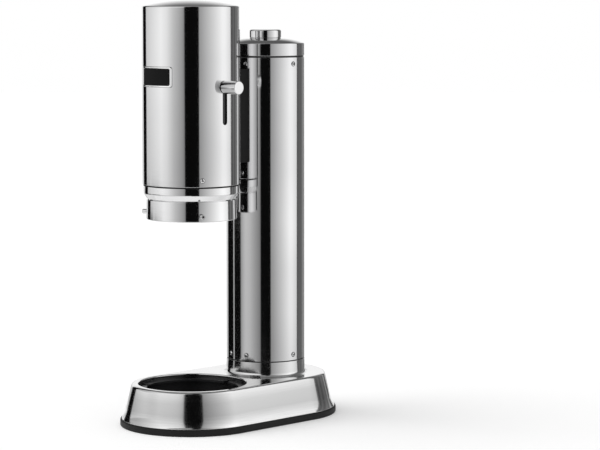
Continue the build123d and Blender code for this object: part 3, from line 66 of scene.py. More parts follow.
class Skin:
    """Collects faces with the normal of each corner, and shares points that coincide."""

    def __init__(self):
        self.points = []
        self.index = {}
        self.faces = []
        self.normals = []
        self.tone = 0
        self.tones = []
        self.put(Matrix.Identity(4))

    def put(self, place):
        """Sets the frame that the next faces are given in."""
        self.place = place
        self.turn = place.to_3x3()

    def point(self, p):
        p = self.place @ Vector(p)
        key = tuple(round(c * SHARED) for c in p)
        if key not in self.index:
            self.index[key] = len(self.points)
            self.points.append(p * MM)
        return self.index[key]

    def face(self, corners, normals=()):
        """Adds a face; a piece that is made with an angle for sharp needs no normals."""
        ids, kept = [], []
        for k, corner in enumerate(corners):
            i = self.point(corner)
            if i not in ids:
                ids.append(i)
                if normals:
                    kept.append((self.turn @ Vector(normals[k])).normalized())
        if len(ids) > 2:
            self.faces.append(ids)
            self.normals.extend(kept)
            self.tones.append(self.tone)

    def sweep(self, runs, stations, closed=True):
        """Carries runs of (r, z, nr, nz) round stations of (centre x, y, direction x, y)."""
        count = len(stations) if closed else len(stations) - 1
        for run in runs:
            for a, b in zip(run, run[1:]):
                for s in range(count):
                    here, there = stations[s], stations[(s + 1) % len(stations)]
                    corners, normals = [], []
                    for (r, z, nr, nz), (cx, cy, dx, dy) in (
                            (a, here), (a, there), (b, there), (b, here)):
                        corners.append((cx + r * dx, cy + r * dy, z))
                        normals.append((nr * dx, nr * dy, nz))
                    self.face(corners, normals)

    def flat(self, loops, z, up):
        """Fills a level area inside the first loop and outside the others."""
        lines = [[Vector((x, y, z)) for x, y in loop] for loop in loops]
        points = [p for line in lines for p in line]
        for tri in tessellate_polygon(lines):
            corners = [points[i] for i in tri]
            side = (corners[1] - corners[0]).cross(corners[2] - corners[0]).z
            if side * up < 0:
                corners.reverse()
            self.face(corners, [(0, 0, up)] * 3)

    def creases(self):
        """Edges where the normals of the two faces differ."""
        sides, start, found = {}, 0, set()
        for ids in self.faces:
            count = len(ids)
            for k in range(count):
                j = (k + 1) % count
                pair = (self.normals[start + k], self.normals[start + j])
                if ids[k] > ids[j]:
                    pair = pair[::-1]
                edge = (min(ids[k], ids[j]), max(ids[k], ids[j]))
                other = sides.setdefault(edge, pair)
                if min(pair[0].dot(other[0]), pair[1].dot(other[1])) < SAME_NORMAL:
                    found.add(edge)
            start += count
        return found

    def make(self, name, materials, body, slot, *nodes, sharp=None):
        """Makes the object; with an angle for sharp, Blender works out the normals."""
        mesh = bpy.data.meshes.new(name)
        mesh.from_pydata([tuple(p) for p in self.points], [], self.faces)
        mesh.shade_smooth()
        if sharp is None:
            creases = self.creases()
            for edge in mesh.edges:
                edge.use_edge_sharp = edge.key in creases
            mesh.normals_split_custom_set([tuple(n) for n in self.normals])
        else:
            mesh.set_sharp_from_angle(angle=radians(sharp))
        piece = bpy.data.objects.new(name, mesh)
        bpy.context.scene.collection.objects.link(piece)
        for material in materials:
            mesh.materials.append(material)
        mesh.polygons.foreach_set("material_index", self.tones)
        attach(piece, body)
        if nodes:
            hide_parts(*nodes)
        return piece


def outline(*corners, closed=False, step=5.0):
    """Runs through corners of (r, z) or (r, z, rounding), with the normal on the right of the way."""
    n = len(corners)
    spots = [Vector(c[:2]) for c in corners]
    rounds = [c[2] if len(c) > 2 else 0 for c in corners]
    ends, arcs = [], []
    for i, spot in enumerate(spots):
        at_end = not closed and i in (0, n - 1)
        if at_end or rounds[i] == 0:
            ends.append((spot, spot))
            arcs.append(None)
            continue
        into = (spot - spots[i - 1]).normalized()
        out = (spots[(i + 1) % n] - spot).normalized()
        turn = atan2(into.x * out.y - into.y * out.x, into.dot(out))
        reach = rounds[i] * tan(abs(turn) / 2)
        start, stop = spot - into * reach, spot + out * reach
        hand = 1 if turn > 0 else -1
        centre = start + Vector((-into.y, into.x)) * rounds[i] * hand
        parts = max(2, ceil(abs(degrees(turn)) / step))
        first = start - centre
        arc = []
        for k in range(parts + 1):
            a = turn * k / parts
            spoke = Vector((first.x * cos(a) - first.y * sin(a), first.x * sin(a) + first.y * cos(a)))
            p, m = centre + spoke, spoke.normalized() * hand
            arc.append((p.x, p.y, m.x, m.y))
        ends.append((start, stop))
        arcs.append(arc)
    runs = []
    for i in range(n):
        if arcs[i]:
            runs.append(arcs[i])
        if i == n - 1 and not closed:
            break
        a, b = ends[i][1], ends[(i + 1) % n][0]
        way = b - a
        if way.length > NO_LENGTH:
            m = Vector((way.y, -way.x)).normalized()
            runs.append([(a.x, a.y, m.x, m.y), (b.x, b.y, m.x, m.y)])
    return runs


def round_about(cx, cy, count=240):
    """Stations round a vertical axis."""
    return [(cx, cy, cos(2 * pi * k / count), sin(2 * pi * k / count)) for k in range(count)]


def stadium(count=180):
    """Stations round the base: an arc about the column, then one about the head."""
    half = count // 2
    rear = [(0, COLUMN_Y, cos(pi * k / half), sin(pi * k / half)) for k in range(half + 1)]
    front = [(0, HEAD_Y, -cos(pi * k / half), -sin(pi * k / half)) for k in range(half + 1)]
    return rear + front


def ring_points(stations, r):
    return [(cx + r * dx, cy + r * dy) for cx, cy, dx, dy in stations]


AROUND_HEAD = round_about(0, HEAD_Y)
AROUND_COLUMN = round_about(0, COLUMN_Y)
AROUND_BASE = stadium()


def band(inner, outer, low, high, eases):
    """A closed rectangular section, with a rounding for each corner from the inner lower one on."""
    corners = ((inner, low), (outer, low), (outer, high), (inner, high))
    return outline(*((r, z, ease) for (r, z), ease in zip(corners, eases)), closed=True)


def swept(runs, stations, name, material, body, slot, *nodes):
    """A piece that is one outline carried round its stations."""
    skin = Skin()
    skin.sweep(runs, stations)
    return skin.make(name, (material,), body, slot, *nodes)


# Materials
NOISE_LOW = 0.3  # most of the noise lies between these
NOISE_HIGH = 0.7
STEEL_CLOUD = 14.0  # scales of the noise
PLAIN_CLOUD = 35.0
STEEL_DETAIL = 2.0
CLOUD_DETAIL = 3.0
GRAIN_DETAIL = 4.0
LINE_STRENGTH = 0.25
GRAIN_STRENGTH = 0.35
COAT_ROUGHNESS = 0.06
BAND_WANDER = 0.12


def nodes_of(name):
    material = bpy.data.materials.new(name)
    material.use_nodes = True
    tree = material.node_tree
    return material, tree.nodes, tree.links, tree.nodes["Principled BSDF"]


def texture(nodes, links, scale, detail, stretch=(1, 1, 1)):
    """Noise in metres of the object, stretched along its axes."""
    where = nodes.new("ShaderNodeTexCoord")
    mapping = nodes.new("ShaderNodeMapping")
    mapping.inputs["Scale"].default_value = stretch
    noise = nodes.new("ShaderNodeTexNoise")
    noise.inputs["Scale"].default_value = scale
    noise.inputs["Detail"].default_value = detail
    links.new(where.outputs["Object"], mapping.inputs["Vector"])
    links.new(mapping.outputs["Vector"], noise.inputs["Vector"])
    return noise.outputs["Fac"]


def spread(nodes, links, value, low, high):
    """Maps noise about its middle to a range."""
    ramp = nodes.new("ShaderNodeMapRange")
    ramp.inputs["From Min"].default_value = NOISE_LOW
    ramp.inputs["From Max"].default_value = NOISE_HIGH
    ramp.inputs["To Min"].default_value = low
    ramp.inputs["To Max"].default_value = high
    links.new(value, ramp.inputs["Value"])
    return ramp.outputs["Result"]


def tint(nodes, links, value, stops):
    """Maps a value to colours; stops are (place, colour)."""
    ramp = nodes.new("ShaderNodeValToRGB")
    elements = ramp.color_ramp.elements
    for place, _ in stops[1:-1]:
        elements.new(place)
    for element, (place, colour) in zip(elements, stops):
        element.position = place
        element.color = (*colour, 1)
    links.new(value, ramp.inputs["Fac"])
    return ramp.outputs["Color"]


def bump(nodes, links, value, shader, strength, depth):
    node = nodes.new("ShaderNodeBump")
    node.inputs["Strength"].default_value = strength
    node.inputs["Distance"].default_value = depth
    links.new(value, node.inputs["Height"])
    links.new(node.outputs["Normal"], shader.inputs["Normal"])


def lined(nodes, links, shader, rough, lines, depth):
    """Fine turned or drawn lines with slightly uneven polish; gives back their noise."""
    shader.inputs["Metallic"].default_value = 1.0
    grain = texture(nodes, links, 1.0, STEEL_DETAIL, lines)
    links.new(spread(nodes, links, grain, *rough), shader.inputs["Roughness"])
    bump(nodes, links, grain, shader, LINE_STRENGTH, depth)
    return grain


def steel(name, dark, light, rough, lines, depth):
    """Steel with a cloudy polish; rough is a range, lines and depth are those of the fine lines."""
    material, nodes, links, shader = nodes_of(name)
    lined(nodes, links, shader, rough, lines, depth)
    cloud = texture(nodes, links, STEEL_CLOUD, STEEL_DETAIL)
    shade = tint(nodes, links, cloud, ((NOISE_LOW, dark), (NOISE_HIGH, light)))
    links.new(shade, shader.inputs["Base Color"])
    return material


def height_shaded_steel(name, low, high, stops, rough, lines, depth):
    """Steel whose colour is painted lighter and darker with the height, as painted reflection and shade;
    stops are (share of the height, colour).
    """
    material, nodes, links, shader = nodes_of(name)
    grain = lined(nodes, links, shader, rough, lines, depth)
    where = nodes.new("ShaderNodeTexCoord")
    split = nodes.new("ShaderNodeSeparateXYZ")
    links.new(where.outputs["Object"], split.inputs["Vector"])
    share = nodes.new("ShaderNodeMapRange")
    share.inputs["From Min"].default_value = low * MM
    share.inputs["From Max"].default_value = high * MM
    links.new(split.outputs["Z"], share.inputs["Value"])
    wander = nodes.new("ShaderNodeMath")
    wander.operation = "MULTIPLY_ADD"
    wander.inputs[1].default_value = BAND_WANDER
    links.new(grain, wander.inputs[0])
    links.new(share.outputs["Result"], wander.inputs[2])
    links.new(tint(nodes, links, wander.outputs[0], stops), shader.inputs["Base Color"])
    return material


def plain(name, dark, light, rough, scale, depth, metal=0.0, coat=0.0, shine=0.5):
    """A moulded, cast or painted surface; rough is a range, scale and depth are those of its grain."""
    material, nodes, links, shader = nodes_of(name)
    shader.inputs["Metallic"].default_value = metal
    shader.inputs["Specular IOR Level"].default_value = shine
    shader.inputs["Coat Weight"].default_value = coat
    shader.inputs["Coat Roughness"].default_value = COAT_ROUGHNESS
    grain = texture(nodes, links, scale, GRAIN_DETAIL)
    cloud = texture(nodes, links, PLAIN_CLOUD, CLOUD_DETAIL)
    shade = tint(nodes, links, cloud, ((NOISE_LOW, dark), (NOISE_HIGH, light)))
    links.new(shade, shader.inputs["Base Color"])
    links.new(spread(nodes, links, grain, *rough), shader.inputs["Roughness"])
    bump(nodes, links, grain, shader, GRAIN_STRENGTH, depth)
    return material


def grey(level, cool=0.0):
    return (level, level, level + cool)


BAND_LOW = 8.0
# Painted reflection and shade on the base: lighter at the foot and the top, darker in between
BASE_SHADE_BANDS = ((0.05, grey(0.86)), (0.22, grey(0.64)), (0.42, grey(0.50)), (0.75, grey(0.54)),
              (1.0, grey(0.70)))
MIRROR = (0.05, 0.10)  # roughness
FINE_LINES = (25, 25, 1500)  # stretch of the noise: rings about a vertical axis
LINES = (25, 25, 900)
SATIN_LINES = (60, 60, 1800)
FINE_DEPTH = 0.000006
DEPTH = 0.00001
SATIN_DEPTH = 0.00004

POLISHED = steel("polished_steel", grey(0.68, 0.005), grey(0.71, 0.002), MIRROR, FINE_LINES, FINE_DEPTH)
# Painted light: a lighter copy of the polished steel for the collar and the shield ring
RING_STEEL_PAINTED_LIGHT = steel("ring_steel_painted_light", grey(0.76, 0.005), grey(0.79, 0.002), MIRROR, FINE_LINES, FINE_DEPTH)
# Painted highlight: a near-white copy of the steel, so that the nameplate's frame shows bright
BORDER_PAINTED_HIGHLIGHT = steel("badge_border_steel", grey(0.92), grey(0.96), (0.06, 0.12), FINE_LINES, FINE_DEPTH)
BASE_STEEL = height_shaded_steel("base_steel", BAND_LOW, BASE_TOP, BASE_SHADE_BANDS, (0.08, 0.14), LINES, DEPTH)
# Painted shade: a near-black copy of the steel for the wall inside the well
WELL_STEEL_PAINTED_SHADE = steel("well_steel_painted_shade", grey(0.10), grey(0.13), (0.22, 0.32), LINES, DEPTH)
SATIN = steel("inner_steel", grey(0.52, 0.01), grey(0.58), (0.22, 0.34), SATIN_LINES, SATIN_DEPTH)
RUBBER = plain("black_rubber", grey(0.006), grey(0.010), (0.5, 0.7), 2600, 0.0001, shine=0.25)
PLASTIC = plain("black_plastic", grey(0.010, 0.001), grey(0.016, 0.001), (0.28, 0.42), 1800, 0.00005)
GREY_PLASTIC = plain("grey_plastic", (0.20, 0.205, 0.21), (0.25, 0.255, 0.26), (0.35, 0.5), 1800, 0.00005)
ENAMEL = plain("black_enamel", grey(0.004), grey(0.006), (0.5, 0.6), 500, 0.00002, shine=0.12)
BLACK_PAINT = plain("black_paint", grey(0.004), grey(0.006), (0.4, 0.55), 600, 0.00004, shine=0.15)
ALUMINIUM = plain("cast_aluminium", grey(0.50, 0.01), grey(0.60, 0.01), (0.35, 0.55), 900, 0.0001,
                  metal=1.0)
BRASS = plain("brass", (0.62, 0.45, 0.20), (0.72, 0.53, 0.25), (0.2, 0.34), 700, 0.00004, metal=1.0)
PAINT = plain("cylinder_paint", (0.40, 0.42, 0.43), (0.46, 0.48, 0.49), (0.25, 0.4), 450, 0.00005,
              coat=0.4)

FINISH = {
    "polished_steel": POLISHED,
    "inner_steel": SATIN,
    "black_rubber": RUBBER,
    "black_plastic": PLASTIC,
    "grey_plastic": GREY_PLASTIC,
    "black_enamel": ENAMEL,
    "black_paint": BLACK_PAINT,
    "cast_aluminium": ALUMINIUM,
    "brass": BRASS,
    "cylinder_paint": PAINT,
}

# CAD nodes take the finish of their slot
for part in frame["record"]["subparts"]:
    node_mesh = frame["nodes"][part["node"]].data
    node_mesh.materials.clear()
    node_mesh.materials.append(FINISH[part["material_slot"]])

# Base shell with the well and the neck under the column
SHEET = 1.5
SKIRT_R = 88.0
SKIRT_IN = 86.5
SKIRT_EASE = 0.45
FLARE_R = 84.2
FLARE_Z = 14.0
FLARE_ROUND = 28.0
BASE_R = 75.0
BASE_ROUND = 4.0
FLAT_R = 60.0  # any radius inside the flat top
SMOOTH_STEP = 1.5  # degrees between the points of the skirt's roundings
WELL_R = 67.0
LIP = 1.4
LIP_BOTTOM = 43.5
NOTCH_SHADE_FROM = 49  # stations of the bayonet notch in the wall of the well, where the wall is painted black as the notch's shade
NOTCH_SHADE_TO = 58
NECK_TOP = 69.8
NECK_R = 50.4
NECK_ROUND = 4.5
NECK_EASE = 0.15
NECK_IN = 47.5

base = Skin()
skirt = outline((SKIRT_IN, FOOT_H), (SKIRT_R, FOOT_H, SKIRT_EASE), (FLARE_R, FLARE_Z, FLARE_ROUND),
                (BASE_R, BASE_TOP, BASE_ROUND), (FLAT_R, BASE_TOP), step=SMOOTH_STEP)
base.sweep(skirt[:-1], AROUND_BASE)
lining = outline((FLAT_R, BASE_TOP - SHEET), (BASE_R - SHEET, BASE_TOP - SHEET, BASE_ROUND - SHEET),
                 (FLARE_R - SHEET, FLARE_Z, FLARE_ROUND), (SKIRT_IN, FOOT_H))
base.sweep(lining[1:], AROUND_BASE)
well = outline((BASE_R, BASE_TOP), (WELL_R, BASE_TOP, LIP), (WELL_R, LIP_BOTTOM),
               (WELL_R + SHEET, LIP_BOTTOM), (WELL_R + SHEET, BASE_TOP - SHEET))
_, lip, well_wall, *well_back = well
base.sweep([lip] + well_back, AROUND_HEAD)
neck = outline((BASE_R, BASE_TOP), (NECK_R, BASE_TOP, NECK_ROUND), (COLUMN_R, NECK_TOP, NECK_EASE),
               (NECK_IN, NECK_TOP), (NECK_IN, BASE_TOP - SHEET))
base.sweep(neck[1:], AROUND_COLUMN)
flat_r, cove_r, lining_r = skirt[-1][0][0], neck[1][0][0], lining[0][-1][0]
base.flat([ring_points(AROUND_BASE, flat_r), ring_points(AROUND_HEAD, WELL_R + LIP),
           ring_points(AROUND_COLUMN, cove_r)], BASE_TOP, 1)
base.flat([ring_points(AROUND_BASE, lining_r), ring_points(AROUND_HEAD, WELL_R + SHEET),
           ring_points(AROUND_COLUMN, NECK_IN)], BASE_TOP - SHEET, -1)
# Painted shade: the wall inside the well is black at the notch and near-black steel elsewhere
base.tone = 1
base.sweep([well_wall], AROUND_HEAD[NOTCH_SHADE_FROM:NOTCH_SHADE_TO + 1], closed=False)
base.tone = 2
base.sweep([well_wall], AROUND_HEAD[NOTCH_SHADE_TO:] + AROUND_HEAD[:NOTCH_SHADE_FROM + 1], closed=False)
base.make("base_skin", (BASE_STEEL, PLASTIC, WELL_STEEL_PAINTED_SHADE), "frame", "polished_steel", "base_shell")

FOOT_R = 89.4
FOOT_IN = 80.0
FOOT_EASES = (0.5, 1.6, 1.6, 0.5)
swept(band(FOOT_IN, FOOT_R, 0, FOOT_H, FOOT_EASES), AROUND_BASE,
      "foot_skin", RUBBER, "frame", "black_rubber", "foot_ring")

# Column, its lid and the knob
COLUMN_BOTTOM = 71.1
COLUMN_TOP = 452.0
COLUMN_EASES = (0.1, 0.15, 0.4, 0.3)
swept(band(COLUMN_IN, COLUMN_R, COLUMN_BOTTOM, COLUMN_TOP, COLUMN_EASES), AROUND_COLUMN,
      "column_skin", POLISHED, "frame", "polished_steel", "column_tube")

# A black band set in the gap between the neck and the column: painted shade in the seam
SEAM_R = 49.0
SEAM_IN = 47.6
SEAM_LOW = 69.4
SEAM_HIGH = 71.4
SEAM_EASES = (0.2, 0.2, 0.2, 0.2)
swept(band(SEAM_IN, SEAM_R, SEAM_LOW, SEAM_HIGH, SEAM_EASES), AROUND_COLUMN,
      "column_seam_shade", RUBBER, "frame", "black_rubber")

LID_BOTTOM = 454.0
LID_RIM = 469.3
LID_EASE = 0.4
LID_ROUND = 1.0
LID_WALL = 1.2
LID_LAND = 475.7
LID_LAND_R = 20.6
LID_BULGE = 1.3
LINING_R = 47.2
LINING_DROP = 0.4


def low_arc(r0, z0, r1, z1, rise, parts=24):
    """A run of points on a low arc from one spot to another."""
    a, b = Vector((r0, z0)), Vector((r1, z1))
    chord = (b - a).length
    radius = (chord * chord / 4 + rise * rise) / (2 * rise)
    along = (b - a).normalized()
    right = Vector((along.y, -along.x))
    centre = (a + b) / 2 - right * (radius - rise)
    half = asin(chord / 2 / radius)
    run = []
    for k in range(parts + 1):
        t = -half + 2 * half * k / parts
        m = right * cos(t) + along * sin(t)
        p = centre + m * radius
        run.append((p.x, p.y, m.x, m.y))
    return run


lid_crown = low_arc(COLUMN_R, LID_RIM, LID_LAND_R, LID_LAND, LID_BULGE)[1:]
lid_side = outline((COLUMN_IN, LID_BOTTOM), (COLUMN_R, LID_BOTTOM, LID_EASE),
                   (COLUMN_R, LID_RIM, LID_ROUND), lid_crown[0][:2])
lid_land = outline((LID_LAND_R, LID_LAND), (0, LID_LAND))
lid_lining = outline((0, LID_LAND - LID_WALL), (LID_LAND_R, LID_LAND - LID_WALL),
                     (LINING_R, LID_RIM - LINING_DROP), (COLUMN_IN, LID_RIM - LID_WALL),
                     (COLUMN_IN, LID_BOTTOM))
swept(lid_side + [lid_crown] + lid_land + lid_lining, AROUND_COLUMN,
      "lid_skin", POLISHED, "lid", "polished_steel", "column_lid")

KNOB_R = 20.2
KNOB_FOOT_R = 19.3
KNOB_GAP = 0.02
KNOB_FOOT = LID_LAND + KNOB_GAP
KNOB_BOTTOM = 476.0
KNOB_TOP = 486.1
KNOB_EASE = 0.5
KNOB_ROUND = 2.2
swept(outline((0, KNOB_FOOT), (KNOB_FOOT_R, KNOB_FOOT), (KNOB_FOOT_R, KNOB_BOTTOM),
              (KNOB_R, KNOB_BOTTOM, KNOB_EASE), (KNOB_R, KNOB_TOP, KNOB_ROUND), (0, KNOB_TOP)),
      AROUND_COLUMN,
      "knob_skin", POLISHED, "lid", "polished_steel", "lid_knob")

# Head casing with the slot of the push bar
HEAD_BOTTOM = 299.1
HEAD_EDGE = 516.4
HEAD_RISE = 7.6
HEAD_ROUND = 1.7
HEAD_WALL = 1.2
HEAD_IN = HEAD_R - HEAD_WALL
HEAD_RIM = 0.4
SLOT_HALF = 3.75
SLOT_BOTTOM = 373.4
SLOT_TOP = 422.8
SLOT_LOW = SLOT_BOTTOM + SLOT_HALF  # the round ends of the slot start here
SLOT_HIGH = SLOT_TOP - SLOT_HALF
SLOT_END_PARTS = 8
PATCH = radians(9)  # half the finer part of the casing round the slot
PATCH_PARTS = 5
FAR_PARTS = 230
ROUND_PARTS = 12
DOME_PARTS = 30
BACK_SHADE_HALF = radians(12)  # half the black strip on the back, close to the column, painted as the shade of the gap before it
BACK_SHADE_TOP = 475
LOW_ROWS = [310, 322, 334, 346, 358, 368]
HIGH_ROWS = [430, 445, 460, BACK_SHADE_TOP, 490, 505]


def slot_half(z):
    """Half the width of the slot at a height, with round ends."""
    past = max(SLOT_LOW - z, z - SLOT_HIGH, 0)
    return sqrt(max(SLOT_HALF**2 - past**2, 0))


def slot_rows():
    quarter = [SLOT_HALF * (1 - cos(pi / 2 * k / SLOT_END_PARTS)) for k in range(SLOT_END_PARTS + 1)]
    return [SLOT_BOTTOM + q for q in quarter] + [SLOT_TOP - q for q in reversed(quarter)]


def head_angles(z):
    """Angles of the casing's points at a height; the slot lies between the last and the first."""
    gap = asin(slot_half(z) / HEAD_R)
    left = [-PATCH + (PATCH - gap) * k / PATCH_PARTS for k in range(PATCH_PARTS + 1)]
    rest = 2 * pi - 2 * PATCH
    far = [PATCH + rest * k / FAR_PARTS for k in range(FAR_PARTS + 1)]
    right = [-a for a in reversed(left)]
    return right + far[1:-1] + [a + 2 * pi for a in left]


def head_profile(radius, edge, rounding):
    """Where the casing's side ends, and runs of its rounded edge and its dome."""
    sphere = (radius**2 + HEAD_RISE**2) / (2 * HEAD_RISE)
    middle = edge + HEAD_RISE - sphere
    inner = radius - rounding
    side_top = middle + sqrt((sphere - rounding) ** 2 - inner**2)
    lean = atan2(side_top - middle, inner)
    shoulder = []
    for k in range(ROUND_PARTS + 1):
        a = lean * k / ROUND_PARTS
        shoulder.append((inner + rounding * cos(a), side_top + rounding * sin(a), cos(a), sin(a)))
    dome = []
    for k in range(DOME_PARTS + 1):
        a = lean + (pi / 2 - lean) * k / DOME_PARTS
        dome.append((max(sphere * cos(a), 0), middle + sphere * sin(a), cos(a), sin(a)))
    return side_top, [shoulder, dome]


def head_side(skin, radius, bottom, top, outward):
    """The cylindrical part of the casing, with the slot left open and, outside, the black strip painted on
    the back as shade.
    """
    rows = [bottom] + LOW_ROWS + slot_rows() + HIGH_ROWS + [top]
    for low, high in zip(rows, rows[1:]):
        below, above = head_angles(low), head_angles(high)
        for k in range(len(below) - 1):
            quad = [(below[k], low), (below[k + 1], low), (above[k + 1], high), (above[k], high)]
            if outward < 0:
                quad.reverse()
            in_back_shade = abs(below[k] - pi / 2) < BACK_SHADE_HALF and high <= BACK_SHADE_TOP
            skin.tone = 1 if in_back_shade and outward > 0 else 0
            skin.face([(radius * cos(a), HEAD_Y + radius * sin(a), z) for a, z in quad],
                      [(outward * cos(a), outward * sin(a), 0) for a, z in quad])
    skin.tone = 0


def slot_wall(skin, side):
    """One side of the slot, through the wall of the casing."""
    rows = slot_rows()
    for low, high in zip(rows, rows[1:]):
        quad = []
        for radius, z in ((HEAD_R, low), (HEAD_R, high), (HEAD_IN, high), (HEAD_IN, low)):
            a = side * asin(slot_half(z) / HEAD_R)
            quad.append((radius * cos(a), HEAD_Y + radius * sin(a), z))
        if side > 0:
            quad.reverse()
        middle = (low + high) / 2
        lean = (max(SLOT_LOW - middle, 0) - max(middle - SLOT_HIGH, 0)) / SLOT_HALF
        skin.face(quad, [(0, -side * sqrt(1 - lean * lean), lean)] * 4)


head = Skin()
around_casing = [(0, HEAD_Y, cos(a), sin(a)) for a in head_angles(0)[:-1]]
outer_top, outer_runs = head_profile(HEAD_R, HEAD_EDGE, HEAD_ROUND)
inner_top, inner_runs = head_profile(HEAD_IN, HEAD_EDGE - HEAD_WALL, HEAD_ROUND - HEAD_WALL)
head_side(head, HEAD_R, HEAD_BOTTOM + HEAD_RIM, outer_top, 1)
head_side(head, HEAD_IN, HEAD_BOTTOM, inner_top, -1)
head.sweep(outer_runs, around_casing)
head.sweep([[(r, z, -nr, -nz) for r, z, nr, nz in reversed(run)] for run in inner_runs], around_casing)
head_foot = outline((HEAD_IN, HEAD_BOTTOM), (HEAD_R, HEAD_BOTTOM, HEAD_RIM), (HEAD_R, outer_top))
head.sweep(head_foot[:2], around_casing)
slot_wall(head, -1)
slot_wall(head, 1)
head.make("head_skin", (POLISHED, BLACK_PAINT), "frame", "polished_steel", "head_casing")

# Collar, shield ring and shield
BACK_SHADE_FROM = 52  # stations of the black strip painted on the back as shade
BACK_SHADE_TO = 68
COLLAR_R = 58.8
COLLAR_Z = 288.1
COLLAR_TOP_R = 58.4
COLLAR_TOP = 316.0
COLLAR_IN = 55.6
SLOPE_R = 54.3
SLOPE_Z = 280.9
SLOPE_EASE = 0.3
SLOPE_ROUND = 4.0
STEP_Z = 284.0
GROOVE_SHADE_R = 59.0
GROOVE_SHADE_IN = 57.8
GROOVE_SHADE_LOW = 297.2
GROOVE_SHADE_HIGH = 299.05
GROOVE_SHADE_EASES = (0.2, 0.3, 0, 0)
RING_R = 55.7
RING_TOP_R = 55.2
RING_IN = 52.6
RING_MOUTH = 50.5
RING_LOW = 256.1
RING_SHELF = 258.0
RING_HIGH = 280.5
RING_EASE = 0.3
RING_ROUND = 1.0
MOUTH_EASE = 0.4
SHIELD_R = 52.5
SHIELD_IN = 51.5
SHIELD_LOW = 258.1
SHIELD_HIGH = 514.0
SHIELD_EASE = 0.3
FLANGE_IN = 48.5
FLANGE_LOW = 512.5


def back_shaded(runs, name, body, node):
    """A turned piece about the head's axis, with a black strip painted on its back as shade."""
    skin = Skin()
    skin.sweep(runs, AROUND_HEAD[BACK_SHADE_TO:] + AROUND_HEAD[:BACK_SHADE_FROM + 1], closed=False)
    skin.tone = 1
    skin.sweep(runs, AROUND_HEAD[BACK_SHADE_FROM:BACK_SHADE_TO + 1], closed=False)
    return skin.make(name, (RING_STEEL_PAINTED_LIGHT, BLACK_PAINT), body, "polished_steel", node)


back_shaded(outline((SLOPE_R, STEP_Z), (SLOPE_R, SLOPE_Z, SLOPE_EASE), (COLLAR_R, COLLAR_Z, SLOPE_ROUND),
                     (COLLAR_TOP_R, COLLAR_TOP), (COLLAR_IN, COLLAR_TOP), (COLLAR_IN, STEP_Z), closed=True),
             "collar_skin", "frame", "head_collar")
# A black band in the groove under the casing's lower edge: painted shade, the dark line of the seam
swept(band(GROOVE_SHADE_IN, GROOVE_SHADE_R, GROOVE_SHADE_LOW, GROOVE_SHADE_HIGH, GROOVE_SHADE_EASES), AROUND_HEAD,
      "collar_groove_shade", RUBBER, "frame", "black_rubber")
back_shaded(outline((RING_MOUTH, RING_LOW, MOUTH_EASE), (RING_R, RING_LOW, RING_ROUND),
                     (RING_TOP_R, RING_HIGH, RING_EASE), (RING_IN, RING_HIGH), (RING_IN, RING_SHELF),
                     (RING_MOUTH, RING_SHELF), closed=True),
             "ring_skin", "shield", "shield_ring")
swept(outline((SHIELD_IN, SHIELD_LOW), (SHIELD_R, SHIELD_LOW), (SHIELD_R, SHIELD_HIGH, SHIELD_EASE),
              (FLANGE_IN, SHIELD_HIGH), (FLANGE_IN, FLANGE_LOW), (SHIELD_IN, FLANGE_LOW), closed=True),
      AROUND_HEAD,
      "shield_skin", POLISHED, "shield", "polished_steel", "shield_tube")

# Push bar: a turned bar with a flat end, on a neck through the slot
BAR_R = 8.0
BAR_NECK_R = 3.4
BAR_ROOT = 57.8
BAR_START = 60.8
BAR_END = 84.5
BAR_EASE = 0.5
BAR_ROUND = 0.8
BAR_STATIONS = 96

bar = Skin()
bar.put(Matrix.Translation((0, HEAD_Y, LEVER_Z)) @ Matrix.Rotation(radians(90), 4, "Y"))
bar.sweep(outline((0, BAR_ROOT), (BAR_NECK_R, BAR_ROOT), (BAR_NECK_R, BAR_START),
                  (BAR_R, BAR_START, BAR_EASE), (BAR_R, BAR_END, BAR_ROUND), (0, BAR_END)),
          round_about(0, 0, BAR_STATIONS))
bar.make("lever_skin", (POLISHED,), "lever", "polished_steel", "lever_handle")

# Screws and studs
SCREW_STATIONS = 48
SCREW_R = 2.7
SCREW_H = 1.5
SCREW_RIM = 0.3
SHANK_R = 1.5
SHANK_LOW = -3.0
SHADOW_RING_W = 0.45  # the black ring painted round a screw's head as its shadow line
SHADOW_RING_LOW = -0.2
SHADOW_RING_HIGH = 0.12
SHADOW_RING_TOP = 0.16
SOCKET = 2.4
SOCKET_DEPTH = 1.0
SOCKET_CONE = 0.2  # depth of the socket's pointed floor, as a share of its width
BUTTON_FLAT = 0.45  # radius of the top of a button head, as a share of its own
BUTTON_PARTS = 8
COLUMN_SCREW_ANGLES = (-90, -16, 16, 90)
COLUMN_SCREW_Z = (78.3, 443.9)
HEAD_SCREW_ANGLES = (-60, 60, 180)
HEAD_SCREW_Z = 307.0
STUD_Z = 263.5
STUD_FROM = 51.5
STUD_PROFILE = [(2.0, 0), (2.0, 6.0), (2.6, 6.0), (3.0, 6.4), (3.0, 11.2), (2.6, 11.7), (1.9, 11.7)]
STUD_SOCKET = 2.6
STUD_SOCKET_DEPTH = 1.6
TURNED_SHARP = 40  # degrees


def out_from(axis_y, angle, z, r):
    """A frame on a round wall: Z points out, and the angle is from the front towards +X."""
    a = radians(angle)
    out = Vector((sin(a), -cos(a), 0))
    side = Vector((cos(a), sin(a), 0))
    turn = Matrix((side, Vector((0, 0, 1)), out)).transposed().to_4x4()
    spot = Vector((0, axis_y, z)) + out * r
    return Matrix.Translation(spot) @ turn


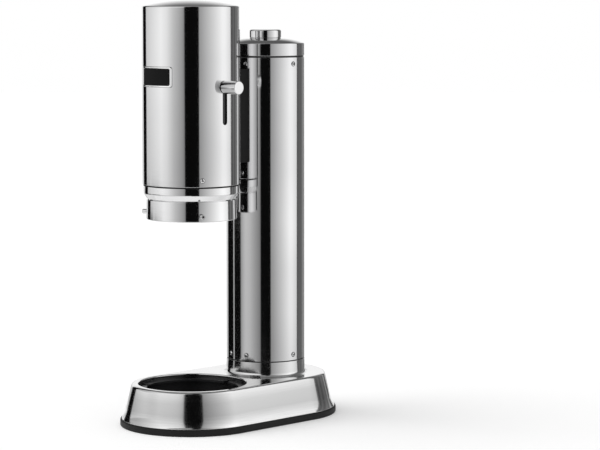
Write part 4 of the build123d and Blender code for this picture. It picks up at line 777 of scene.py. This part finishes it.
def socket_head(skin, profile, across, depth, joint=0):
    """A turned head with a hexagon socket in its top, the socket's inside painted black as shade; the first
    strips may be a black ring painted as the head's shadow line.
    """
    top = profile[-1][1]
    turns = [2 * pi * k / SCREW_STATIONS for k in range(SCREW_STATIONS)]
    hexagon = [across / 2 / cos(a % (pi / 3) - pi / 6) for a in turns]
    rings = [[(r * cos(a), r * sin(a), z) for a in turns] for r, z in profile]
    for z in (top, top - depth):
        rings.append([(r * cos(a), r * sin(a), z) for r, a in zip(hexagon, turns)])
    rings.append([(0, 0, top - depth - across * SOCKET_CONE)] * SCREW_STATIONS)
    for i, (a, b) in enumerate(zip(rings, rings[1:])):
        # painted shade: the socket's inside and the ring round the head are black
        skin.tone = 1 if i < joint or i > len(profile) - 1 else 0
        for k in range(SCREW_STATIONS):
            j = (k + 1) % SCREW_STATIONS
            skin.face([a[k], a[j], b[j], b[k]])


def button_profile(radius, height):
    """A low button head, from its root to its flat top."""
    sphere = (radius**2 + height**2) / (2 * height)
    radii = [radius * (1 - (1 - BUTTON_FLAT) * k / BUTTON_PARTS) for k in range(BUTTON_PARTS + 1)]
    return [(r, sqrt(sphere**2 - r**2) - (sphere - height)) for r in radii]


def screws(name, places, node):
    """Button-head screws with a black ring painted round each as its shadow line, as one piece."""
    shadow_ring_r = SCREW_R + SHADOW_RING_W
    joint = [(SHANK_R, SHANK_LOW), (SHANK_R, SHADOW_RING_LOW), (shadow_ring_r, SHADOW_RING_LOW), (shadow_ring_r, SHADOW_RING_HIGH),
             (SCREW_R, SHADOW_RING_TOP)]
    button = [(r, z + SCREW_RIM) for r, z in button_profile(SCREW_R, SCREW_H - SCREW_RIM)]
    group = Skin()
    for place in places:
        group.put(place)
        socket_head(group, joint + button, SOCKET, SOCKET_DEPTH, joint=len(joint) - 1)
    return group.make(name, (POLISHED, PLASTIC), "frame", "polished_steel", node, sharp=TURNED_SHARP)


column_places = [out_from(COLUMN_Y, a, z, COLUMN_R) for a in COLUMN_SCREW_ANGLES for z in COLUMN_SCREW_Z]
head_places = [out_from(HEAD_Y, a, HEAD_SCREW_Z, HEAD_R) for a in HEAD_SCREW_ANGLES]
screws("column_screw_heads", column_places, "column_screws")
screws("head_screw_heads", head_places, "head_screws")

studs = Skin()
for angle in HEAD_SCREW_ANGLES:
    studs.put(out_from(HEAD_Y, angle, STUD_Z, STUD_FROM))
    socket_head(studs, STUD_PROFILE, STUD_SOCKET, STUD_SOCKET_DEPTH)
studs.make("stud_heads", (POLISHED, PLASTIC), "shield", "polished_steel", "shield_studs",
           sharp=TURNED_SHARP)

# Nameplate: a curved frame with a bare enamel plate
BADGE_W = 50.2
BADGE_H = 24.2
BADGE_ROUND = 2.5
BADGE_Z = 431.5
BADGE_STEP = 1.5  # about the stretch between points along the frame's long sides
# Section of the frame: depth inside its outer edge (outside if negative) and distance from the axis
BADGE_SECTION = ((-0.35, 60.0), (-0.35, 60.08), (0, 60.08), (0, 60.95), (0.12, 61.12), (0.3, 61.2),
                 (1.5, 61.2), (1.7, 61.1), (1.8, 60.9), (1.8, 60.0))
SHADOW_LINE_STRIPS = 2  # the first strips of the section are a dark ring painted round the frame as its shadow line
PLATE_INSET = 1.85
PLATE_COLUMNS = 60
PLATE_R = 60.6
BADGE_SHARP = 35  # degrees


def on_head(x, z, r):
    return (x, HEAD_Y - sqrt(r * r - x * x), BADGE_Z + z)


def badge_loop(steps=8):
    """Points of the frame's outer edge, as x and z."""
    loop = []
    for cx, cz, start in ((1, 1, 0), (-1, 1, 90), (-1, -1, 180), (1, -1, 270)):
        for k in range(steps + 1):
            a = radians(start + 90 * k / steps)
            loop.append((cx * (BADGE_W / 2 - BADGE_ROUND) + BADGE_ROUND * cos(a),
                         cz * (BADGE_H / 2 - BADGE_ROUND) + BADGE_ROUND * sin(a)))
    dense = []
    for (x0, z0), (x1, z1) in zip(loop, loop[1:] + loop[:1]):
        parts = max(1, int(abs(x1 - x0) / BADGE_STEP))
        dense += [(x0 + (x1 - x0) * k / parts, z0 + (z1 - z0) * k / parts) for k in range(parts)]
    return dense


def inset(x, z, depth):
    """A point of the outer edge moved inwards."""
    return x * (BADGE_W / 2 - depth) / (BADGE_W / 2), z * (BADGE_H / 2 - depth) / (BADGE_H / 2)


border = Skin()
edge = badge_loop()
for strip, ((d0, r0), (d1, r1)) in enumerate(zip(BADGE_SECTION, BADGE_SECTION[1:] + BADGE_SECTION[:1])):
    border.tone = 1 if strip < SHADOW_LINE_STRIPS else 0
    for (xa, za), (xb, zb) in zip(edge, edge[1:] + edge[:1]):
        border.face([on_head(*inset(xa, za, d0), r0), on_head(*inset(xb, zb, d0), r0),
                     on_head(*inset(xb, zb, d1), r1), on_head(*inset(xa, za, d1), r1)])
border.make("badge_border", (BORDER_PAINTED_HIGHLIGHT, RUBBER), "frame", "polished_steel", "badge_frame", sharp=BADGE_SHARP)

plate = Skin()
half_w, half_h = BADGE_W / 2 - PLATE_INSET, BADGE_H / 2 - PLATE_INSET
for k in range(PLATE_COLUMNS):
    x0, x1 = (-half_w + 2 * half_w * i / PLATE_COLUMNS for i in (k, k + 1))
    for r, turn in ((PLATE_R, 1), (HEAD_R, -1)):
        spots = ((x0, -half_h, r), (x1, -half_h, r), (x1, half_h, r), (x0, half_h, r))
        plate.face([on_head(*spot) for spot in spots[::turn]])
    for z, turn in ((half_h, 1), (-half_h, -1)):
        spots = ((x0, z, PLATE_R), (x1, z, PLATE_R), (x1, z, HEAD_R), (x0, z, HEAD_R))
        plate.face([on_head(*spot) for spot in spots[::turn]])
for x, turn in ((half_w, 1), (-half_w, -1)):
    spots = ((x, -half_h, PLATE_R), (x, -half_h, HEAD_R), (x, half_h, HEAD_R), (x, half_h, PLATE_R))
    plate.face([on_head(*spot) for spot in spots[::turn]])
plate.make("badge_face", (ENAMEL,), "frame", "black_enamel", "badge_plate", sharp=BADGE_SHARP)

# Coils inside
WIRE_SIDES = 10
WIRE_SHARP = 60  # degrees
TURN_PARTS = 20
WIRE_UP = Vector((0.31, 0.17, 0.93))  # any direction that no coil runs along
PLUNGER_ROOM = 3.0
UPWARDS = Vector((0, 0, 1))
BACKWARDS = Vector((0, 1, 0))

bodies = frame["record"]["behaviour"]["bodies"]
node_body = {node: body for body, members in bodies.items() for node in members}


def wire_skin(spots, wire):
    """A round wire through a list of points."""
    skin = Skin()
    loops = []
    for i, spot in enumerate(spots):
        along = (spots[min(i + 1, len(spots) - 1)] - spots[max(i - 1, 0)]).normalized()
        across = along.cross(WIRE_UP).normalized()
        third = along.cross(across)
        turns = [2 * pi * k / WIRE_SIDES for k in range(WIRE_SIDES)]
        loops.append([spot + (across * cos(a) + third * sin(a)) * wire for a in turns])
    for a, b in zip(loops, loops[1:]):
        for k in range(WIRE_SIDES):
            j = (k + 1) % WIRE_SIDES
            skin.face([a[k], a[j], b[j], b[k]])
    skin.face(loops[0][::-1])
    skin.face(loops[-1])
    return skin


def coil(start, axis, radius, length, turns):
    """Points of a coil that starts at a spot and winds about an axis."""
    side = axis.orthogonal().normalized()
    third = axis.cross(side)
    spots = []
    for k in range(turns * TURN_PARTS + 1):
        a = 2 * pi * k / TURN_PARTS
        rise = axis * (length * k / (turns * TURN_PARTS))
        spots.append(start + rise + (side * cos(a) + third * sin(a)) * radius)
    return spots


def coil_in(node, name, axis, material, slot, turns, wire, room=0):
    """Winds a coil in the space of a CAD sleeve, with room at its start for a plunger's travel."""
    low, high = (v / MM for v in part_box(node))
    middle = (low + high) / 2
    length = abs((high - low).dot(axis))
    across = min(c for c, part in zip(high - low, axis) if part == 0)
    start = middle - axis * (length / 2 - wire - room)
    spots = coil(start, axis, across / 2 - wire, length - 2 * wire - room, turns)
    return wire_skin(spots, wire).make(name, (material,), node_body[node], slot, node, sharp=WIRE_SHARP)


coil_in("lever_spring", "lever_spring_coil", UPWARDS, SATIN, "inner_steel", turns=14, wire=0.4)
coil_in("valve_spring", "valve_spring_coil", BACKWARDS, SATIN, "inner_steel", turns=5, wire=0.35,
        room=PLUNGER_ROOM)
coil_in("gas_coil", "gas_coil_hose", UPWARDS, PLASTIC, "black_plastic", turns=12, wire=1.9)

# Stage: a pale floor, in metres; the steel mirrors only the part near the object
STAGE_R = 0.30
FLOOR_R = 9.0
FLOOR_STATIONS = 72
FLOOR_GREY = 0.86
FLOOR_ROUGHNESS = 0.9
FLOOR_SHINE = 0.1
FLOOR_LIFT = 0.24


def stage_mesh(name, points, faces, material):
    mesh = bpy.data.meshes.new(name)
    mesh.from_pydata(points, [], faces)
    obj = bpy.data.objects.new(name, mesh)
    bpy.context.scene.collection.objects.link(obj)
    mesh.materials.append(material)
    return obj


def any_of(nodes, links, *names):
    """1 for a ray of any of these kinds, otherwise 0."""
    path = nodes.new("ShaderNodeLightPath")
    value = path.outputs[names[0]]
    for name in names[1:]:
        node = nodes.new("ShaderNodeMath")
        node.operation = "MAXIMUM"
        links.new(value, node.inputs[0])
        links.new(path.outputs[name], node.inputs[1])
        value = node.outputs[0]
    return value


def floor_finish():
    """Matt and pale, a little lighter for the camera and in mirror images."""
    material, nodes, links, shader = nodes_of("pale_floor")
    shader.inputs["Base Color"].default_value = (*grey(FLOOR_GREY), 1)
    shader.inputs["Roughness"].default_value = FLOOR_ROUGHNESS
    shader.inputs["Specular IOR Level"].default_value = FLOOR_SHINE
    shader.inputs["Emission Color"].default_value = (*grey(1), 1)
    lift = nodes.new("ShaderNodeMath")
    lift.operation = "MULTIPLY"
    lift.inputs[1].default_value = FLOOR_LIFT
    links.new(any_of(nodes, links, "Is Camera Ray", "Is Glossy Ray"), lift.inputs[0])
    links.new(lift.outputs[0], shader.inputs["Emission Strength"])
    return material


floor_material = floor_finish()
inside = [(x * MM, y * MM, 0) for x, y in ring_points(stadium(FLOOR_STATIONS), STAGE_R / MM)]
outside = []
for x, y, _ in inside:
    stretch = FLOOR_R / hypot(x, y)
    outside.append((x * stretch, y * stretch, 0))
count = len(inside)
far_faces = [[count + k, count + (k + 1) % count, (k + 1) % count, k] for k in range(count)]
stage_mesh("floor_near", inside, [list(range(count))], floor_material)
floor_far = stage_mesh("floor_far", inside + outside, far_faces, floor_material)
floor_far.visible_glossy = False

# Studio walls, seen only as mirror images: stops are (azimuth from the front towards +X, level)
# or, in RIGHT_HEIGHTS, LEFT_HEIGHTS and REAR, (height in metres, level)
NEAR_R = 1.25
NEAR_FROM = 45
NEAR_TO = 198
FAR_R = 3.0
WALL_LOW = -1.9
FINE_LOW = -0.7  # the rows of points are closer between these two heights
FINE_HIGH = 0.8
WALL_HIGH = 3.84
LOW_ROW_COUNT = 12
FINE_ROW_COUNT = 75
HIGH_ROW_COUNT = 16
HOLE_R = 0.05
FIRST_TURN = -162
WALL_STATIONS = 360
DARK = 0.004
TABLE = 0.85
CEILING = 0.30
RIGHT_BOX = ((62.3, 0.40), (95, 0.86), (122, 1.27), (131, 1.27), (150.5, 0.98))
RIGHT_HEIGHTS = ((-9, 0.78), (-0.15, 0.78), (-0.10, 0.80), (-0.03, 0.88), (0.05, 0.90), (0.12, 0.98),
                 (0.18, 0.98), (0.22, 0.93), (0.47, 1.0), (1.3, 1.0), (2.0, 0.35), (9, 0.3))
BEHIND = ((152, 0.20), (156, 0.08), (162, 0.20), (167, 0.10), (175, 0.22), (181, 0.12), (186, 0.50),
          (190, 0.10), (198, 0.05))
LEFT_BOX = ((-80, 0.80), (-26, 1.20), (-11, 1.05), (6, 0.70), (26, 0.42), (31.6, 0.26))
LEFT_HEIGHTS = ((-9, 0.95), (0.03, 0.95), (0.07, 0.88), (0.30, 1.0), (9, 1.0))
LOW_LEFT = ((-34.5, DARK), (-32.5, 0.36), (-24, 0.58), (-15, 0.70), (-2, 0.64), (11, 0.48), (26, 0.31),
            (31.6, 0.22))
LOW_SLIT = (-65, -61)
SLIT = 0.55
HIGH_LEFT = ((-80, 0.50), (-59, 0.60), (-27, 0.95), (-14, 1.08), (10, 1.02), (21, 0.94), (29, 0.78),
             (31.6, 0.45))
REAR_TO = -101
REAR = ((-9, 0.05), (-0.9, 0.05), (-0.6, 0.6), (0.15, 0.80), (0.5, 1.1), (0.85, 1.1), (1.15, 0.98),
        (1.4, 0.78), (1.65, 0.54), (1.8, 0.36), (2.0, 0.2), (2.2, 0.13), (9, 0.12))
# Heights: above the first of a pair a wall shows its upper part, below the second its lower part
NEAR_TABLE = (-0.2, -0.3)
FAR_TABLE = (-0.5, -0.65)
LOW_EDGE = (0.05, 0.015)
HIGH_EDGE = (0.62, 0.48)


def between(stops, x):
    """The level at x between two stops, or None outside them."""
    for (x0, v0), (x1, v1) in zip(stops, stops[1:]):
        if x0 <= x <= x1:
            return v0 + (v1 - v0) * (x - x0) / (x1 - x0)
    return None


def fade(x, full, none):
    """1 at full and past it, 0 at none and past it."""
    return min(max((x - none) / (full - none), 0), 1)


def near_light(turn, z):
    """The box on the right and the dim room beside it."""
    value = between(RIGHT_BOX, turn)
    if value is not None:
        value *= between(RIGHT_HEIGHTS, z)
    else:
        value = between(BEHIND, turn) or DARK
    return TABLE + (value - TABLE) * fade(z, *NEAR_TABLE)


def far_light(turn, z):
    """The box on the left with the dark room below it, and the pale room behind."""
    low = between(LOW_LEFT, turn) or DARK
    if LOW_SLIT[0] <= turn <= LOW_SLIT[1]:
        low = SLIT
    middle = (between(LEFT_BOX, turn) or DARK) * between(LEFT_HEIGHTS, z)
    high = between(HIGH_LEFT, turn) or DARK
    if turn < REAR_TO:
        low = middle = high = between(REAR, z)
    value = low + (middle - low) * fade(z, *LOW_EDGE)
    value += (high - value) * fade(z, *HIGH_EDGE)
    return TABLE + (value - TABLE) * fade(z, *FAR_TABLE)


def wall_finish():
    """Glows with the level of each point."""
    material, nodes, links, shader = nodes_of("softbox_walls")
    glow = nodes.new("ShaderNodeEmission")
    level = nodes.new("ShaderNodeAttribute")
    level.attribute_name = "level"
    links.new(level.outputs["Color"], glow.inputs["Color"])
    links.new(glow.outputs["Emission"], nodes["Material Output"].inputs["Surface"])
    nodes.remove(shader)
    return material


def rows_between(low, high, count):
    """Evenly spaced heights, without the last one."""
    return [low + (high - low) * k / count for k in range(count)]


turns = [FIRST_TURN + k for k in range(WALL_STATIONS)]
heights = rows_between(WALL_LOW, FINE_LOW, LOW_ROW_COUNT)
heights += rows_between(FINE_LOW, FINE_HIGH, FINE_ROW_COUNT)
heights += rows_between(FINE_HIGH, WALL_HIGH, HIGH_ROW_COUNT)
wall_points, wall_levels = [], []


def wall_point(reach, turn, z, value):
    wall_points.append((reach * sin(radians(turn)), -reach * cos(radians(turn)), z))
    wall_levels.append(value)


for z in heights:
    for turn in turns:
        if NEAR_FROM < turn < NEAR_TO:
            wall_point(NEAR_R, turn, z, near_light(turn, z))
        else:
            wall_point(FAR_R, turn, z, far_light(turn, z))
for turn in turns:
    wall_point(NEAR_R if NEAR_FROM < turn < NEAR_TO else FAR_R, turn, WALL_HIGH, CEILING)
for turn in turns:
    wall_point(HOLE_R, turn, WALL_HIGH, CEILING)
wall_faces = []
for row in range(0, len(wall_points) - WALL_STATIONS, WALL_STATIONS):
    for k in range(WALL_STATIONS):
        j = (k + 1) % WALL_STATIONS
        wall_faces.append([row + k, row + j, row + WALL_STATIONS + j, row + WALL_STATIONS + k])
walls = stage_mesh("studio_walls", wall_points, wall_faces, wall_finish())
levels = walls.data.color_attributes.new("level", "FLOAT_COLOR", "POINT")
for point, value in zip(levels.data, wall_levels):
    point.color = (*grey(value), 1)
for flag_name in ("visible_camera", "visible_diffuse", "visible_shadow", "visible_volume_scatter"):
    setattr(walls, flag_name, False)

# Lamp and world
KEY_PLACE = Vector((-1.5, -1.6, 2.4))
KEY_ENERGY = 1.3
KEY_ANGLE = radians(50)
SKY_LIGHT = 0.62

key = bpy.data.lights.new("key", "SUN")
key.energy = KEY_ENERGY
key.angle = KEY_ANGLE
key_object = bpy.data.objects.new("key", key)
bpy.context.scene.collection.objects.link(key_object)
key_object.location = KEY_PLACE
key_object.rotation_euler = (-KEY_PLACE).to_track_quat("-Z", "Y").to_euler()
key_object.visible_glossy = False

world = bpy.data.worlds.new("studio")
bpy.context.scene.world = world
world.use_nodes = True
nodes, links = world.node_tree.nodes, world.node_tree.links
sky = nodes["Background"]
sky.inputs["Color"].default_value = (*grey(1), 1)
strength = nodes.new("ShaderNodeMapRange")
strength.inputs["To Min"].default_value = SKY_LIGHT
strength.inputs["To Max"].default_value = 1.0
seen = any_of(nodes, links, "Is Camera Ray", "Is Glossy Ray", "Is Transmission Ray")
links.new(seen, strength.inputs["Value"])
links.new(strength.outputs["Result"], sky.inputs["Strength"])

# Camera at the photograph's angle
CAMERA_PLACE = (2.14687, -2.05423, 0.54508)
CAMERA_TURN = (84.1987, -0.0145, 44.5579)
CAMERA_LENS = 143.362
CAMERA_REACH = 100.0
SENSOR = 36.0

camera = bpy.data.cameras.new("camera")
camera.sensor_width = SENSOR
camera.lens = CAMERA_LENS
camera.clip_end = CAMERA_REACH
camera_object = bpy.data.objects.new("camera", camera)
bpy.context.scene.collection.objects.link(camera_object)
camera_object.location = CAMERA_PLACE
camera_object.rotation_euler = [radians(turn) for turn in CAMERA_TURN]
bpy.context.scene.camera = camera_object
bpy.context.scene.view_settings.view_transform = "Standard"
